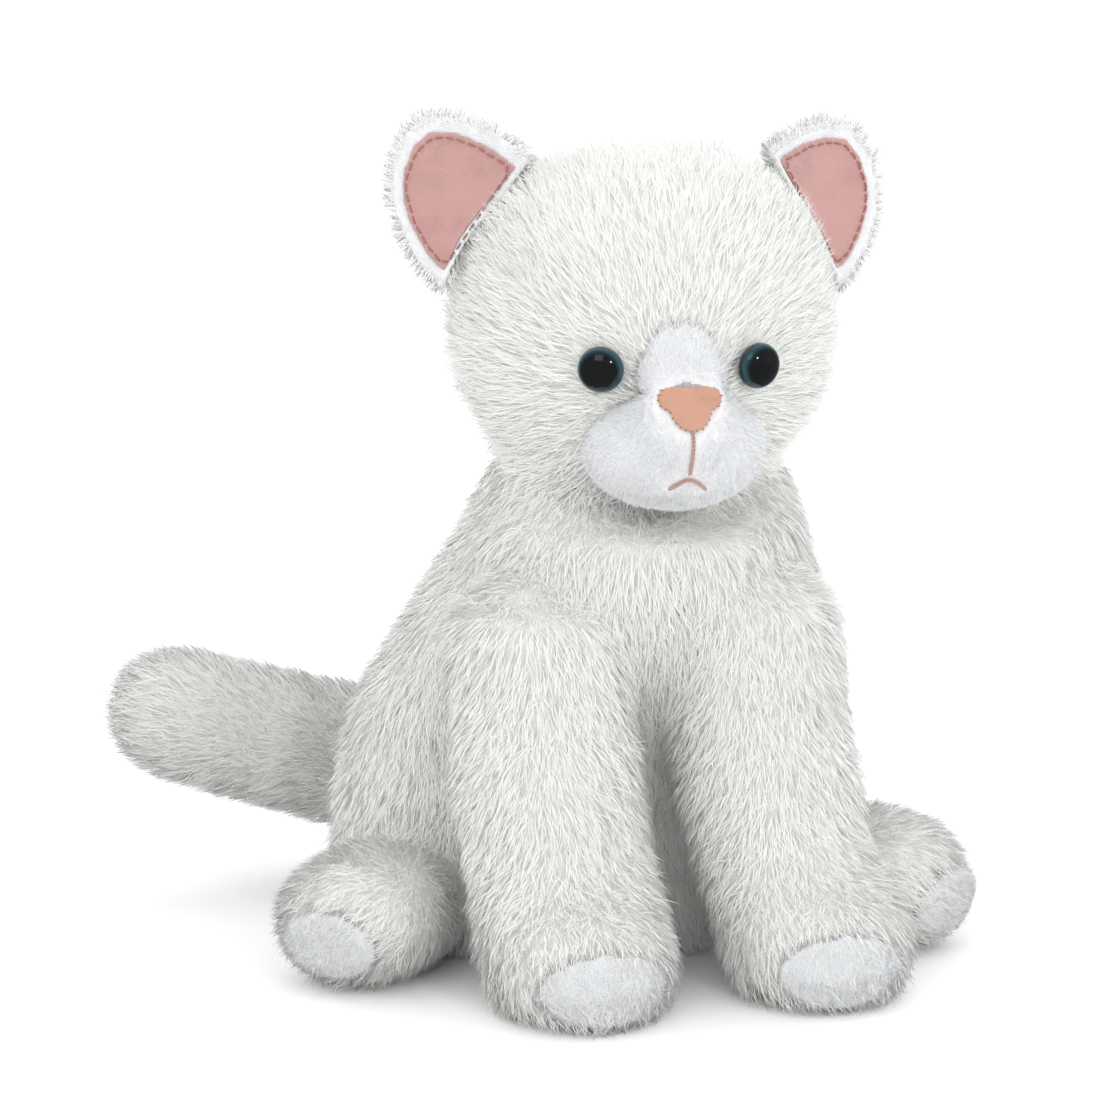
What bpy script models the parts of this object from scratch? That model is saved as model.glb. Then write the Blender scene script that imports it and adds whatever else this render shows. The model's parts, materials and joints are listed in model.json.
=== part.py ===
"""A seated plush cat, built piece by piece: fur-fabric skins over stuffing, safety eyes, sewn ears, legs and tail.

The cat faces -Y and sits on z = 0, with its left side towards +X. Dimensions are in millimetres and are turned
into metres where a mesh is made. A skin's outer face lies at the middle of the pile.
"""

from collections import namedtuple
from math import atan2, cos, pi, radians, sin, sqrt, tan

import bmesh
import bpy
from mathutils import Matrix, Vector

MM = 0.001
FABRIC = 1.6  # fur fabric with its knitted backing
GAP = 0.35  # between pieces that touch on the toy
CLEARANCE = 2.2  # round a limb in its socket
LEAST_RISE = 0.5  # between the two lowest rings of a form
SIDES = {"left": 1, "right": -1}

# The head is wider than it is deep, flatter above than below, and turns and nods about its centre.
HEAD_CENTRE = Vector((0, 0, 166))
HEAD_RADII = Vector((47.5, 42.5, 43.5))
HEAD_SQUARENESS_ABOVE = 2.6
HEAD_SQUARENESS_BELOW = 2.2
HEAD_YAW = radians(-4.5)  # the face looks a little to the cat's right
HEAD_SEGMENTS = 24
HEAD_STEPS = 10
CROWN_LATITUDE = radians(84)  # of the ring nearest to a pole
NECK_OPENING = radians(-62)  # latitude of the head skin's lower edge
NECK_CUP_CLEARANCE = 4.0
NECK_CUP_SHARES = (0.75, 0.5, 0.25)
NECK_THREAD_RADIUS = 18.0
NECK_SEGMENTS = 20

MUZZLE_CENTRE = Vector((0, -34, 140))
MUZZLE_RADII = Vector((22.0, 17.5, 14.5))
BRIDGE_CENTRE = Vector((0, -34, 159))
BRIDGE_RADII = Vector((13.0, 13.0, 17.0))
MUZZLE_SEGMENTS = 20
MUZZLE_STEPS = 8
NOSE_CENTRE = Vector((0, -52.2, 151.6))
NOSE_HALF = ((0, 5.2), (3.5, 5.6), (7, 5), (8.2, 3), (7.4, 0.6), (5.2, -0.6), (4.4, -3), (2.6, -5.2), (0, -5.9))
NOSE_TILT = radians(24)
NOSE_THICKNESS = 1.3
MOUTH_TOP = 146.0
MOUTH_FORK = 135.5
MOUTH_BOTTOM = 132.0
MOUTH_HALF_WIDTH = 4.2
FACE_THREAD = 0.55
THREAD_LIFT = 0.1  # clear of the cloth, or of the thread below
MOUTH_STEPS = 5

EYE_SPREAD = 19.3
EYE_HEIGHT = 160.6
EYE_RADIUS = 5.8
EYE_DOME = 3.8
EYE_DISC = 1.2
EYE_SEGMENTS = 20
LENS_RIM = 0.6
LENS_LATITUDES = (25, 50, 75)
EYE_STANDOFF = 0.7
SHANK_RADIUS = 2.0
SHANK_LENGTH = 9.0
WASHER_RADIUS = 6.2
WASHER_DEPTH = 3.1
WASHER_THICKNESS = 1.2
EYE_ROOM = 1.0  # in the filling, round the washer and past the shank
CUTTER_SEGMENTS = 16

# Each ear is a shallow dish on a chord across the head's upper corner.
EAR_CHORD_INNER = Vector((29.5, -4.0, 210.0))
EAR_CHORD_OUTER = Vector((55.5, -4.0, 182.5))
EAR_FACING = 0.28  # sideways share of the direction that an ear faces
EAR_OUTLINE = (
    (-18.6, 0), (-17.4, 11), (-14.2, 21), (-9.2, 27.6), (-2, 28.6), (6, 26), (13, 20), (18, 11), (21, 2), (21.5, -5),
)
EAR_BASE = ((13, -2.2), (4, -0.9), (-4, -0.9), (-12, -0.4))  # the edge sewn to the head
EAR_RING_SHARES = (0.25, 0.5, 0.75, 0.92, 1.0)
EAR_MIDDLE = Vector((2.5, 8.5))
EAR_DISH = 6.0
EAR_THICKNESS = 2.6
EAR_TURN = {"left": radians(10), "right": radians(1)}  # outwards, in the ear's own plane
EAR_LEAN = {"left": radians(18), "right": radians(4)}  # backwards
LINING_SCALE = 0.8
LINING_RING_SHARES = (0.2, 0.4, 0.6, LINING_SCALE)
LINING_THICKNESS = 0.7
TOPSTITCH_SCALE = 0.73
TOPSTITCH_RADIUS = 0.35

# The trunk sits a little to the cat's right of its head and front paws. A slice has a share of that sway.
SWAY = -4.0

# A slice is one level outline: half width across X, the Y of its front, widest and back points, and its sway.
Slice = namedtuple("Slice", "height middle half_width front widest back sway")
TORSO_SLICES = (
    Slice(0.0, 0, 46, -8, 30, 52, 1),
    Slice(3.0, 0, 56, -10, 32, 59, 1),
    Slice(10.0, 0, 64, -11, 34, 65, 1),
    Slice(22.0, 0, 69.5, -10, 34, 68.5, 1),
    Slice(38.0, 0, 70.5, -8, 34, 69, 1),
    Slice(55.0, 0, 67.5, -9, 32, 66, 1),
    Slice(72.0, 0, 61.5, -16, 26, 60.5, 1),
    Slice(88.0, 0, 55, -26, 18, 54, 0.8),
    Slice(102.0, 0, 48.5, -32, 11, 47.5, 0.45),
    Slice(115.0, 0, 43, -31.5, 7, 42, 0.15),
)
NECK_RIM = Slice(None, 0, 37.5, -21, 3, 37, 0)  # its height follows the hollow for the head
STUFFING_RIM_SHARE = 0.94  # the filling stops short of the rim
TORSO_SEGMENTS = 28

SHOULDER = Vector((28.5, -14, 88))
SHOULDER_RADIUS = 22.5
SHOULDER_LATITUDES = (0, 25, 50, 72, 84)
OPEN_ROOT = 0.5  # share of the shoulder ball's height where the leg's skin ends
LEG_SLICES = (
    Slice(0.4, 31, 15, -65, -48, -27, 0),
    Slice(3.5, 31, 20.5, -70, -48, -22, 0),
    Slice(11.0, 31, 23.5, -73, -48, -18, 0),
    Slice(19.0, 31, 23.5, -71, -45, -15, 0.1),
    Slice(26.0, 30.5, 23, -64, -39, -11, 0.3),
    Slice(32.0, 30, 22.5, -55, -33, -8, 0.5),
    Slice(41.0, 29.5, 22.5, -49, -28, -6, 0.75),
    Slice(58.0, 29, 22.5, -44.5, -23, -1, 1),
    Slice(74.0, 28.5, 22.5, -39, -17, 5, 1),
)
LEG_SEGMENTS = 16
TOE_PAD_CENTRE = Vector((31, -70, 11))
TOE_PAD_RADII = Vector((17, 14, 9.5))

HIP = Vector((41, 25, 17.2))
HIP_RADIUS = 13.0
HIP_LATITUDES = (-80, -55, -28, 0)
HIP_TURN = {"left": radians(50), "right": radians(45)}
HIP_ROOM = radians(17)  # for the outward swing
HIND_FLOOR = 0.4
# distance from the hip, half width, half height
HIND_PROFILE = (
    (10, 13.5, 13.5), (22, 16, 15), (32, 19, 16.4), (42, 20.8, 16.8), (52, 19.5, 15.8), (59, 15, 12), (62.5, 8, 6.5),
)
HIND_SEGMENTS = 16
SOLE_CENTRE = Vector((62, 0, 13.5))
SOLE_RADII = Vector((14, 13.5, 9))

TAIL_ROOT = Vector((-8, 64, 26))
TAIL_ROUTE = (
    TAIL_ROOT, Vector((-10, 78, 26.0)), Vector((-23, 90, 27.5)),
    Vector((-48, 94, 33)), Vector((-78, 91, 42.5)), Vector((-106, 86, 52.5)),
)
TAIL_RADII = (12.0, 13.8, 16.4, 17.9, 18.0, 17.2)
TAIL_STEPS = 2  # rings between two points of the route
TAIL_SEGMENTS = 14
TIP_LATITUDES = (30, 55, 75)
ROOT_LATITUDES = (75, 50, 25)
SOCKET_FLARE = radians(42)  # opening of the rump round the tail's root
SOCKET_LATITUDES = (78, 52, 26, 0)
SOCKET_SEGMENTS = 20
SOCKET_ROOM = 1.0
TAIL_THREAD_RADIUS = 13.8

POUCH_CENTRE = Vector((SWAY, 28, 2.4))
POUCH_RADII = Vector((32, 24, 17))
POUCH_LATITUDES = (0, 20, 40, 60, 78)
POUCH_SEGMENTS = 20
THREAD = 0.4
BACK_SEAM = (58.0, 96.0)
BACK_SEAM_STITCHES = 9
BACK_SEAM_HALF_WIDTH = 1.6
LABEL_SIZE = Vector((0.8, 15.0, 22.0))
LABEL_SIDE = 40.0
LABEL_HEIGHT = 19.0
LABEL_STANDOFF = 1.6

WHITE_FUR = (0.87, 0.88, 0.86)
SHORT_FUR = (0.85, 0.88, 0.91)
FILLING = (0.93, 0.93, 0.92)


def clear_scene():
    for obj in list(bpy.data.objects):
        bpy.data.objects.remove(obj, do_unlink=True)


def material(name, colour, roughness):
    made = bpy.data.materials.new(name)
    made.use_nodes = True
    shader = made.node_tree.nodes["Principled BSDF"]
    shader.inputs["Base Color"].default_value = (*colour, 1)
    shader.inputs["Roughness"].default_value = roughness
    shader.inputs["Metallic"].default_value = 0
    return made


def pivot_empty(name, place, turn=0.0):
    """An empty on a joint. Its pieces are drawn facing straight ahead, and it turns them about the head's upright axis."""
    empty = bpy.data.objects.new(name, None)
    empty["home"] = place * MM
    empty.location = (HEAD_CENTRE + Matrix.Rotation(turn, 3, "Z") @ (place - HEAD_CENTRE)) * MM
    empty.rotation_euler.z = turn
    bpy.context.collection.objects.link(empty)
    return empty


def add_object(name, data, look, pivot):
    """Link an object whose data is in metres about its pivot empty."""
    obj = bpy.data.objects.new(name, data)
    obj.data.materials.append(look)
    bpy.context.collection.objects.link(obj)
    obj.parent = pivot
    return obj


def loft(name, rings, look, pivot):
    """One closed body through rings of the same number of points, its two ends closed by fans."""
    origin = Vector(pivot["home"])
    mesh = bmesh.new()
    loops = [[mesh.verts.new(point * MM - origin) for point in ring] for ring in rings]
    for lower, upper in zip(loops, loops[1:]):
        for i, start in enumerate(lower):
            j = (i + 1) % len(lower)
            mesh.faces.new((start, lower[j], upper[j], upper[i]))
    for loop in (loops[0], loops[-1]):
        centre = mesh.verts.new(sum((vert.co for vert in loop), Vector()) / len(loop))
        for i, start in enumerate(loop):
            mesh.faces.new((start, loop[(i + 1) % len(loop)], centre))
    bmesh.ops.recalc_face_normals(mesh, faces=mesh.faces)
    data = bpy.data.meshes.new(name)
    mesh.to_mesh(data)
    mesh.free()
    data.shade_smooth()
    data.set_sharp_from_angle(angle=radians(50))
    return add_object(name, data, look, pivot)


def thread(name, points, radius, look, pivot, closed=False):
    """A sewn thread as a round tube through the points."""
    curve = bpy.data.curves.new(name, "CURVE")
    curve.dimensions = "3D"
    curve.bevel_depth = radius * MM
    curve.bevel_resolution = 1
    curve.use_fill_caps = True
    spline = curve.splines.new("POLY")
    spline.points.add(len(points) - 1)
    for knot, point in zip(spline.points, points):
        knot.co = (*(point * MM - Vector(pivot["home"])), 1)
    spline.use_cyclic_u = closed
    return add_object(name, curve, look, pivot)


def cut(target, cutter, operation="DIFFERENCE"):
    cutter.hide_render = True
    cutter.display_type = "WIRE"
    modifier = target.modifiers.new(cutter.name, "BOOLEAN")
    modifier.object = cutter
    modifier.operation = operation
    modifier.solver = "EXACT"


def smooth_step(points, steps):
    """Points on a smooth curve through the given ones, with the given number of steps between two of them."""
    padded = [2 * points[0] - points[1], *points, 2 * points[-1] - points[-2]]
    curve = []
    for a, b, c, d in zip(padded, padded[1:], padded[2:], padded[3:]):
        for step in range(steps):
            t = step / steps
            bend = (2 * a - 5 * b + 4 * c - d) * t**2
            twist = (3 * b - a - 3 * c + d) * t**3
            curve.append((2 * b + (c - a) * t + bend + twist) / 2)
    return curve + [points[-1]]


def power(value, exponent):
    return (1 if value >= 0 else -1) * abs(value) ** exponent


# Forms: lists of rings, grown outwards by a distance.


def slice_ring(level, side, grow, segments, height=None):
    ring = []
    for i in range(segments):
        angle = 2 * pi * i / segments
        depth = level.back - level.widest if sin(angle) > 0 else level.widest - level.front
        ring.append(Vector((
            side * level.middle + SWAY * level.sway + (level.half_width + grow) * cos(angle),
            level.widest + (depth + grow) * sin(angle),
            level.height if height is None else height,
        )))
    return ring


def level_circle(centre, radius, height, segments):
    turns = [2 * pi * i / segments for i in range(segments)]
    return [Vector((centre.x + radius * cos(a), centre.y + radius * sin(a), height)) for a in turns]


def neck_cup_height(point, grow):
    """Height of the hollow under the head, at a distance from the turning axis."""
    reach = HEAD_RADII.x + NECK_CUP_CLEARANCE - grow
    drop = HEAD_RADII.z + NECK_CUP_CLEARANCE - grow
    share = Vector((point.x, point.y)).length / reach
    return HEAD_CENTRE.z - drop * (1 - share**HEAD_SQUARENESS_BELOW) ** (1 / HEAD_SQUARENESS_BELOW)


def neck_ring(share, grow):
    ring = [point * share for point in slice_ring(NECK_RIM, 1, grow, TORSO_SEGMENTS, 0)]
    return [Vector((point.x, point.y, neck_cup_height(point, min(grow, 0)))) for point in ring]


def torso_side_rings(grow, rim_share=1.0):
    """Rings from the flat base to the rim round the neck."""
    rings = [slice_ring(TORSO_SLICES[0], 1, grow, TORSO_SEGMENTS, -grow)]
    for level in TORSO_SLICES[1:]:
        rings.append(slice_ring(level, 1, grow, TORSO_SEGMENTS, max(level.height, LEAST_RISE - grow)))
    return rings + [neck_ring(rim_share, grow)]


def neck_cup_rings(grow):
    """The hollow that the head sits in, from inside its rim towards its lowest point."""
    return [neck_ring(share, grow) for share in NECK_CUP_SHARES]


def leg_rings(side, grow, root_share=1.0):
    """Level rings from the sole to the top of the shoulder ball, up to a share of the ball's height."""
    sole = slice_ring(LEG_SLICES[0], side, grow, LEG_SEGMENTS, LEG_SLICES[0].height - grow)
    rings = [sole]
    for level in LEG_SLICES[1:]:
        height = max(level.height, LEG_SLICES[0].height - grow + LEAST_RISE)
        rings.append(slice_ring(level, side, grow, LEG_SEGMENTS, height))
    radius = SHOULDER_RADIUS + grow
    centre = Vector((side * SHOULDER.x + SWAY, SHOULDER.y, 0))
    for latitude in map(radians, SHOULDER_LATITUDES):
        rise = sin(latitude)
        if rise <= root_share:
            height = SHOULDER.z + radius * rise
            rings.append(level_circle(centre, radius * cos(latitude), height, LEG_SEGMENTS))
    return rings


def hind_rings(name, grow, open_root=False, room=0.0):
    """Upright rings from the hip ball to the toes, turned about the hip, with room for an outward swing."""
    side = SIDES[name]
    ball = [(HIP_RADIUS * sin(a), HIP_RADIUS * cos(a), HIP_RADIUS * cos(a)) for a in map(radians, HIP_LATITUDES)]
    profile = ball[2:] if open_root else ball
    rings = []
    for along, half_width, half_height in [*profile, *HIND_PROFILE]:
        stretch = grow if along > HIND_PROFILE[-2][0] - 1 else -grow if along < -1 else 0
        ring = []
        for i in range(HIND_SEGMENTS):
            angle = 2 * pi * i / HIND_SEGMENTS
            spare = max(along, 0) * sin(room) if cos(angle) > 0 else 0
            across = (half_width + grow + spare) * cos(angle)
            up = max(HIP.z + (half_height + grow) * sin(angle), HIND_FLOOR - grow)
            turn = HIP_TURN[name]
            reach = along + stretch
            ring.append(Vector((
                SWAY + side * (HIP.x + reach * cos(turn) + across * sin(turn)),
                HIP.y - reach * sin(turn) + across * cos(turn),
                up,
            )))
        rings.append(ring)
    return rings


def tail_rings(grow, open_root=False):
    """Rings along the tail's route from the ball at its root to its round tip."""
    route = smooth_step(list(TAIL_ROUTE), TAIL_STEPS)
    widths = smooth_step([Vector((r, 0, 0)) for r in TAIL_RADII], TAIL_STEPS)
    tip_radius = TAIL_RADII[-1]
    ahead = (route[-1] - route[-2]).normalized()
    start = (route[1] - route[0]).normalized()
    stations = [(point, width.x) for point, width in zip(route, widths)]
    stations += [(route[-1] + ahead * tip_radius * sin(a), tip_radius * cos(a)) for a in map(radians, TIP_LATITUDES)]
    if not open_root:
        root = TAIL_RADII[0]
        ball = [(route[0] - start * root * sin(a), root * cos(a)) for a in map(radians, ROOT_LATITUDES)]
        stations = ball + stations
    centres = [point for point, _ in stations]
    rings = []
    for i, (centre, radius) in enumerate(stations):
        direction = (centres[min(i + 1, len(centres) - 1)] - centres[max(i - 1, 0)]).normalized()
        across = direction.cross(Vector((0, 0, 1))).normalized()
        up = across.cross(direction)
        if i == len(stations) - 1:
            centre = centre + ahead * grow
        elif i == 0 and not open_root:
            centre = centre - start * grow
        turns = [2 * pi * k / TAIL_SEGMENTS for k in range(TAIL_SEGMENTS)]
        rings.append([centre + (across * cos(a) + up * sin(a)) * (radius + grow) for a in turns])
    return rings


def head_rings(grow, lowest=-CROWN_LATITUDE):
    """Level rings of the head from its crown down to the given latitude."""
    radii = HEAD_RADII + Vector((grow, grow, grow))
    rings = []
    for step in range(HEAD_STEPS + 1):
        latitude = CROWN_LATITUDE + (lowest - CROWN_LATITUDE) * step / HEAD_STEPS
        squareness = HEAD_SQUARENESS_ABOVE if latitude > 0 else HEAD_SQUARENESS_BELOW
        level = power(sin(latitude), 2 / squareness)
        spread = power(cos(latitude), 2 / squareness)
        rings.append([
            HEAD_CENTRE + Vector((radii.x * spread * cos(a), radii.y * spread * sin(a), radii.z * level))
            for a in (2 * pi * i / HEAD_SEGMENTS for i in range(HEAD_SEGMENTS))
        ])
    return rings


def ellipsoid_ring(centre, radii, latitude, segments):
    """A level ring of an ellipsoid."""
    turns = [2 * pi * i / segments for i in range(segments)]
    spread = cos(latitude)
    rise = radii.z * sin(latitude)
    return [centre + Vector((radii.x * spread * cos(a), radii.y * spread * sin(a), rise)) for a in turns]


def ball_rings(centre, radii, segments=16, steps=7):
    latitudes = [CROWN_LATITUDE * (1 - 2 * step / steps) for step in range(steps + 1)]
    return [ellipsoid_ring(centre, radii, latitude, segments) for latitude in latitudes]


def dome_rings(centre, radii):
    """The upper half of a ball, on a flat bottom."""
    return [ellipsoid_ring(centre, radii, latitude, POUCH_SEGMENTS) for latitude in map(radians, POUCH_LATITUDES)]


def grown(radii, distance):
    return radii + Vector((distance, distance, distance))


# Pieces


def make_torso(pivot, looks):
    skin = loft("torso_skin", torso_side_rings(0) + torso_side_rings(-FABRIC)[::-1], looks["fur"], pivot)
    inset = -FABRIC - 2 * GAP
    filled = torso_side_rings(inset, STUFFING_RIM_SHARE) + neck_cup_rings(inset)
    stuffing = loft("torso_stuffing", filled, looks["filling"], pivot)
    loft("pellet_pouch", dome_rings(POUCH_CENTRE, POUCH_RADII), looks["pouch"], pivot)
    pocket = dome_rings(POUCH_CENTRE, grown(POUCH_RADII, GAP))
    below = [point - Vector((0, 0, POUCH_CENTRE.z + GAP)) for point in pocket[0]]
    cut(stuffing, loft("cut_pouch", [below, *pocket], looks["filling"], pivot))
    return skin, stuffing


def make_back_seam(pivot, looks):
    """A ladder of hand stitches that closes the back after stuffing."""
    low, high = BACK_SEAM
    points = []
    for i in range(2 * BACK_SEAM_STITCHES + 1):
        height = low + (high - low) * i / (2 * BACK_SEAM_STITCHES)
        below, above = next((a, b) for a, b in zip(TORSO_SLICES, TORSO_SLICES[1:]) if a.height <= height <= b.height)
        share = (height - below.height) / (above.height - below.height)
        back = below.back + (above.back - below.back) * share
        middle = SWAY * (below.sway + (above.sway - below.sway) * share)
        across = middle + (BACK_SEAM_HALF_WIDTH if i % 2 else -BACK_SEAM_HALF_WIDTH)
        points.append(Vector((across, back + 2 * GAP + THREAD, height)))
    thread("closing_seam_thread", points, THREAD, looks["thread"], pivot)


def make_label(pivot, looks):
    """A blank folded label sewn into the rear side seam."""
    mesh = bmesh.new()
    bmesh.ops.create_cube(mesh, size=1)
    level = TORSO_SLICES[4]
    depth = level.back - level.widest
    back = depth * sqrt(1 - (LABEL_SIDE / level.half_width) ** 2)
    outward = Vector((LABEL_SIDE / level.half_width**2, back / depth**2, 0)).normalized()
    seam = Vector((LABEL_SIDE + SWAY * level.sway, level.widest + back, LABEL_HEIGHT))
    centre = seam + outward * (LABEL_STANDOFF + LABEL_SIZE.y / 2)
    turn = Matrix.Rotation(-atan2(outward.x, outward.y), 4, "Z")
    place = Matrix.Translation(centre * MM) @ turn @ Matrix.Diagonal((*(LABEL_SIZE * MM), 1))
    bmesh.ops.transform(mesh, matrix=place, verts=mesh.verts)
    data = bpy.data.meshes.new("care_label")
    mesh.to_mesh(data)
    mesh.free()
    add_object("care_label", data, looks["label"], pivot)


def make_neck(pivot, looks):
    """The ring of ladder stitches that holds the head on the body."""
    radius = NECK_THREAD_RADIUS
    spread = (1 - (radius / HEAD_RADII.x) ** HEAD_SQUARENESS_BELOW) ** (1 / HEAD_SQUARENESS_BELOW)
    height = HEAD_CENTRE.z - (HEAD_RADII.z + NECK_CUP_CLEARANCE / 2) * spread - NECK_CUP_CLEARANCE / 4
    thread("neck_seam_thread", level_circle(Vector(), radius, height, NECK_SEGMENTS), THREAD, looks["thread"], pivot, closed=True)


def make_head(pivot, looks):
    outer = head_rings(0, NECK_OPENING)
    inner = head_rings(-FABRIC, NECK_OPENING)
    skin = loft("head_skin", outer + inner[::-1], looks["fur"], pivot)
    stuffing = loft("head_stuffing", head_rings(-FABRIC - GAP), looks["filling"], pivot)
    return skin, stuffing


def make_muzzle(pivot, looks):
    """A short-pile panel over its own wad of filling, in front of the head."""
    head_front = loft("cut_muzzle_head", head_rings(GAP), looks["fur"], pivot)
    forms = {}
    for distance in (0, -FABRIC, -FABRIC - GAP):
        for part, centre, radii in (("muzzle", MUZZLE_CENTRE, MUZZLE_RADII), ("bridge", BRIDGE_CENTRE, BRIDGE_RADII)):
            name = {0: "outer", -FABRIC: "inner", -FABRIC - GAP: "wad"}[distance] + "_" + part
            rings = ball_rings(centre, grown(radii, distance), MUZZLE_SEGMENTS, MUZZLE_STEPS)
            forms[name] = loft("cut_" + name, rings, looks["filling"], pivot)
    panel = forms["outer_muzzle"]
    panel.name = "muzzle_panel"
    panel.data.materials[0] = looks["short_fur"]
    cut(panel, forms["outer_bridge"], "UNION")
    wad = forms["wad_muzzle"]
    wad.name = "muzzle_stuffing"
    cut(wad, forms["wad_bridge"], "UNION")
    cut(panel, forms["inner_muzzle"])
    cut(panel, forms["inner_bridge"])
    cut(panel, head_front)
    cut(wad, head_front)


def muzzle_front(height, across=0.0):
    """Y of the muzzle's front at a height and a distance from the middle."""
    reach = 1 - ((height - MUZZLE_CENTRE.z) / MUZZLE_RADII.z) ** 2 - (across / MUZZLE_RADII.x) ** 2
    return MUZZLE_CENTRE.y - MUZZLE_RADII.y * sqrt(reach)


def make_nose(pivot, looks):
    """A felt nose: two round bars at the top and a round lobe below."""
    right = [(-x, z) for x, z in NOSE_HALF[:0:-1] if x]
    outline = [*NOSE_HALF, *right]
    tilt = Matrix.Rotation(-NOSE_TILT, 3, "X")
    faces = []
    for depth in (-NOSE_THICKNESS / 2, NOSE_THICKNESS / 2):
        faces.append([NOSE_CENTRE + tilt @ Vector((x, depth, z)) for x, z in outline])
    loft("nose_applique", faces, looks["nose"], pivot)


def make_mouth(pivot, looks):
    lift = GAP + FACE_THREAD + THREAD_LIFT
    heights = [MOUTH_TOP + (MOUTH_FORK - MOUTH_TOP) * i / MOUTH_STEPS for i in range(MOUTH_STEPS + 1)]
    line = [Vector((0, muzzle_front(z) - lift, z)) for z in heights]
    thread("mouth_line_stitch", line, FACE_THREAD, looks["pink_thread"], pivot)
    arc = []
    for i in range(-MOUTH_STEPS, MOUTH_STEPS + 1):
        across = MOUTH_HALF_WIDTH * i / MOUTH_STEPS
        height = MOUTH_FORK - 2 * FACE_THREAD - GAP - (MOUTH_FORK - MOUTH_BOTTOM) * (across / MOUTH_HALF_WIDTH) ** 2
        arc.append(Vector((across, muzzle_front(height, across) - lift - THREAD_LIFT, height)))
    thread("mouth_arc_stitch", arc, FACE_THREAD, looks["pink_thread"], pivot)


def eye_frame(side):
    """Place on the head's surface and outward direction of an eye."""
    x = EYE_SPREAD
    z = EYE_HEIGHT - HEAD_CENTRE.z
    n = HEAD_SQUARENESS_BELOW
    level = (1 - (abs(z) / HEAD_RADII.z) ** n) ** (1 / n)
    y = -HEAD_RADII.y * sqrt(level**2 - (x / HEAD_RADII.x) ** 2)
    outward = Vector((x / HEAD_RADII.x**2, y / HEAD_RADII.y**2, z / HEAD_RADII.z**2)).normalized()
    outward.x *= side
    return Vector((side * x, y, HEAD_CENTRE.z + z)), outward


def turned(place, axis, profile, segments):
    """Rings of a turned piece: each profile entry is a distance along the axis and a radius."""
    across = axis.cross(Vector((0, 0, 1))).normalized()
    up = across.cross(axis)
    turns = [2 * pi * i / segments for i in range(segments)]
    spokes = [across * cos(a) + up * sin(a) for a in turns]
    return [[place + axis * along + spoke * radius for spoke in spokes] for along, radius in profile]


def make_eye(name, pivot, looks, skin, stuffing):
    place, axis = eye_frame(SIDES[name])
    disc_top = EYE_STANDOFF + EYE_DISC
    disc = [(disc_top, EYE_RADIUS), (EYE_STANDOFF, EYE_RADIUS)]
    shank = [(EYE_STANDOFF, SHANK_RADIUS), (-SHANK_LENGTH, SHANK_RADIUS)]
    loft("eye_core_" + name, turned(place, axis, disc + shank, EYE_SEGMENTS), looks["eye_black"], pivot)
    dome_base = disc_top + GAP
    rim = dome_base + LENS_RIM
    dome = [(dome_base, EYE_RADIUS), (rim, EYE_RADIUS)]
    for angle in map(radians, LENS_LATITUDES):
        dome.append((rim + (EYE_DOME - LENS_RIM) * sin(angle), EYE_RADIUS * cos(angle)))
    loft("eye_lens_" + name, turned(place, axis, dome, EYE_SEGMENTS), looks["eye_lens"], pivot)
    top = -WASHER_DEPTH
    low = top - WASHER_THICKNESS
    bore = SHANK_RADIUS + GAP
    ring = [(top, WASHER_RADIUS), (low, WASHER_RADIUS), (low, bore), (top, bore)]
    washer(name, turned(place, axis, ring, EYE_SEGMENTS), looks, pivot)
    end = -SHANK_LENGTH - EYE_ROOM
    hole = turned(place, axis, [(EYE_DOME, bore), (end, bore)], CUTTER_SEGMENTS)
    cut(skin, loft("cut_shank_" + name, hole, looks["fur"], pivot))
    wide = WASHER_RADIUS + EYE_ROOM
    pocket = turned(place, axis, [(WASHER_RADIUS, wide), (low - GAP, wide), (low - GAP, bore), (end, bore)], CUTTER_SEGMENTS)
    cut(stuffing, loft("cut_washer_" + name, pocket, looks["fur"], pivot))


def washer(name, rings, looks, pivot):
    """A flat ring: its four rings close on themselves."""
    mesh = bmesh.new()
    home = Vector(pivot["home"])
    loops = [[mesh.verts.new(point * MM - home) for point in ring] for ring in rings]
    for lower, upper in zip(loops, loops[1:] + loops[:1]):
        for i, start in enumerate(lower):
            j = (i + 1) % len(lower)
            mesh.faces.new((start, lower[j], upper[j], upper[i]))
    bmesh.ops.recalc_face_normals(mesh, faces=mesh.faces)
    data = bpy.data.meshes.new("eye_washer_" + name)
    mesh.to_mesh(data)
    mesh.free()
    add_object("eye_washer_" + name, data, looks["washer"], pivot)


def ear_frame(name):
    """Chord's middle, and the ear's across, up and forward directions, turned outwards and leaning back."""
    side = SIDES[name]
    inner = Vector((side * EAR_CHORD_INNER.x, EAR_CHORD_INNER.y, EAR_CHORD_INNER.z))
    outer = Vector((side * EAR_CHORD_OUTER.x, EAR_CHORD_OUTER.y, EAR_CHORD_OUTER.z))
    across = (outer - inner).normalized()
    forward = Vector((side * EAR_FACING, -1, 0))
    forward = (forward - across * forward.dot(across)).normalized()
    up = forward.cross(across) * side
    turn = EAR_TURN[name]
    across, up = across * cos(turn) - up * sin(turn), up * cos(turn) + across * sin(turn)
    lean = EAR_LEAN[name]
    up, forward = up * cos(lean) - forward * sin(lean), forward * cos(lean) + up * sin(lean)
    return (inner + outer) / 2, across, up, forward


def ear_ring(frame, share, lift):
    """The ear's outline shrunk to a share about its middle, on the dish, at a height above its front face."""
    middle, across, up, forward = frame
    ring = []
    outline = [Vector(point) for point in (*EAR_OUTLINE, *EAR_BASE)]
    for point in outline:
        flat = EAR_MIDDLE + (point - EAR_MIDDLE) * share
        depth = EAR_DISH * (1 - share**2)
        ring.append(middle + across * flat.x + up * flat.y + forward * (lift - depth))
    return ring


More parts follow.
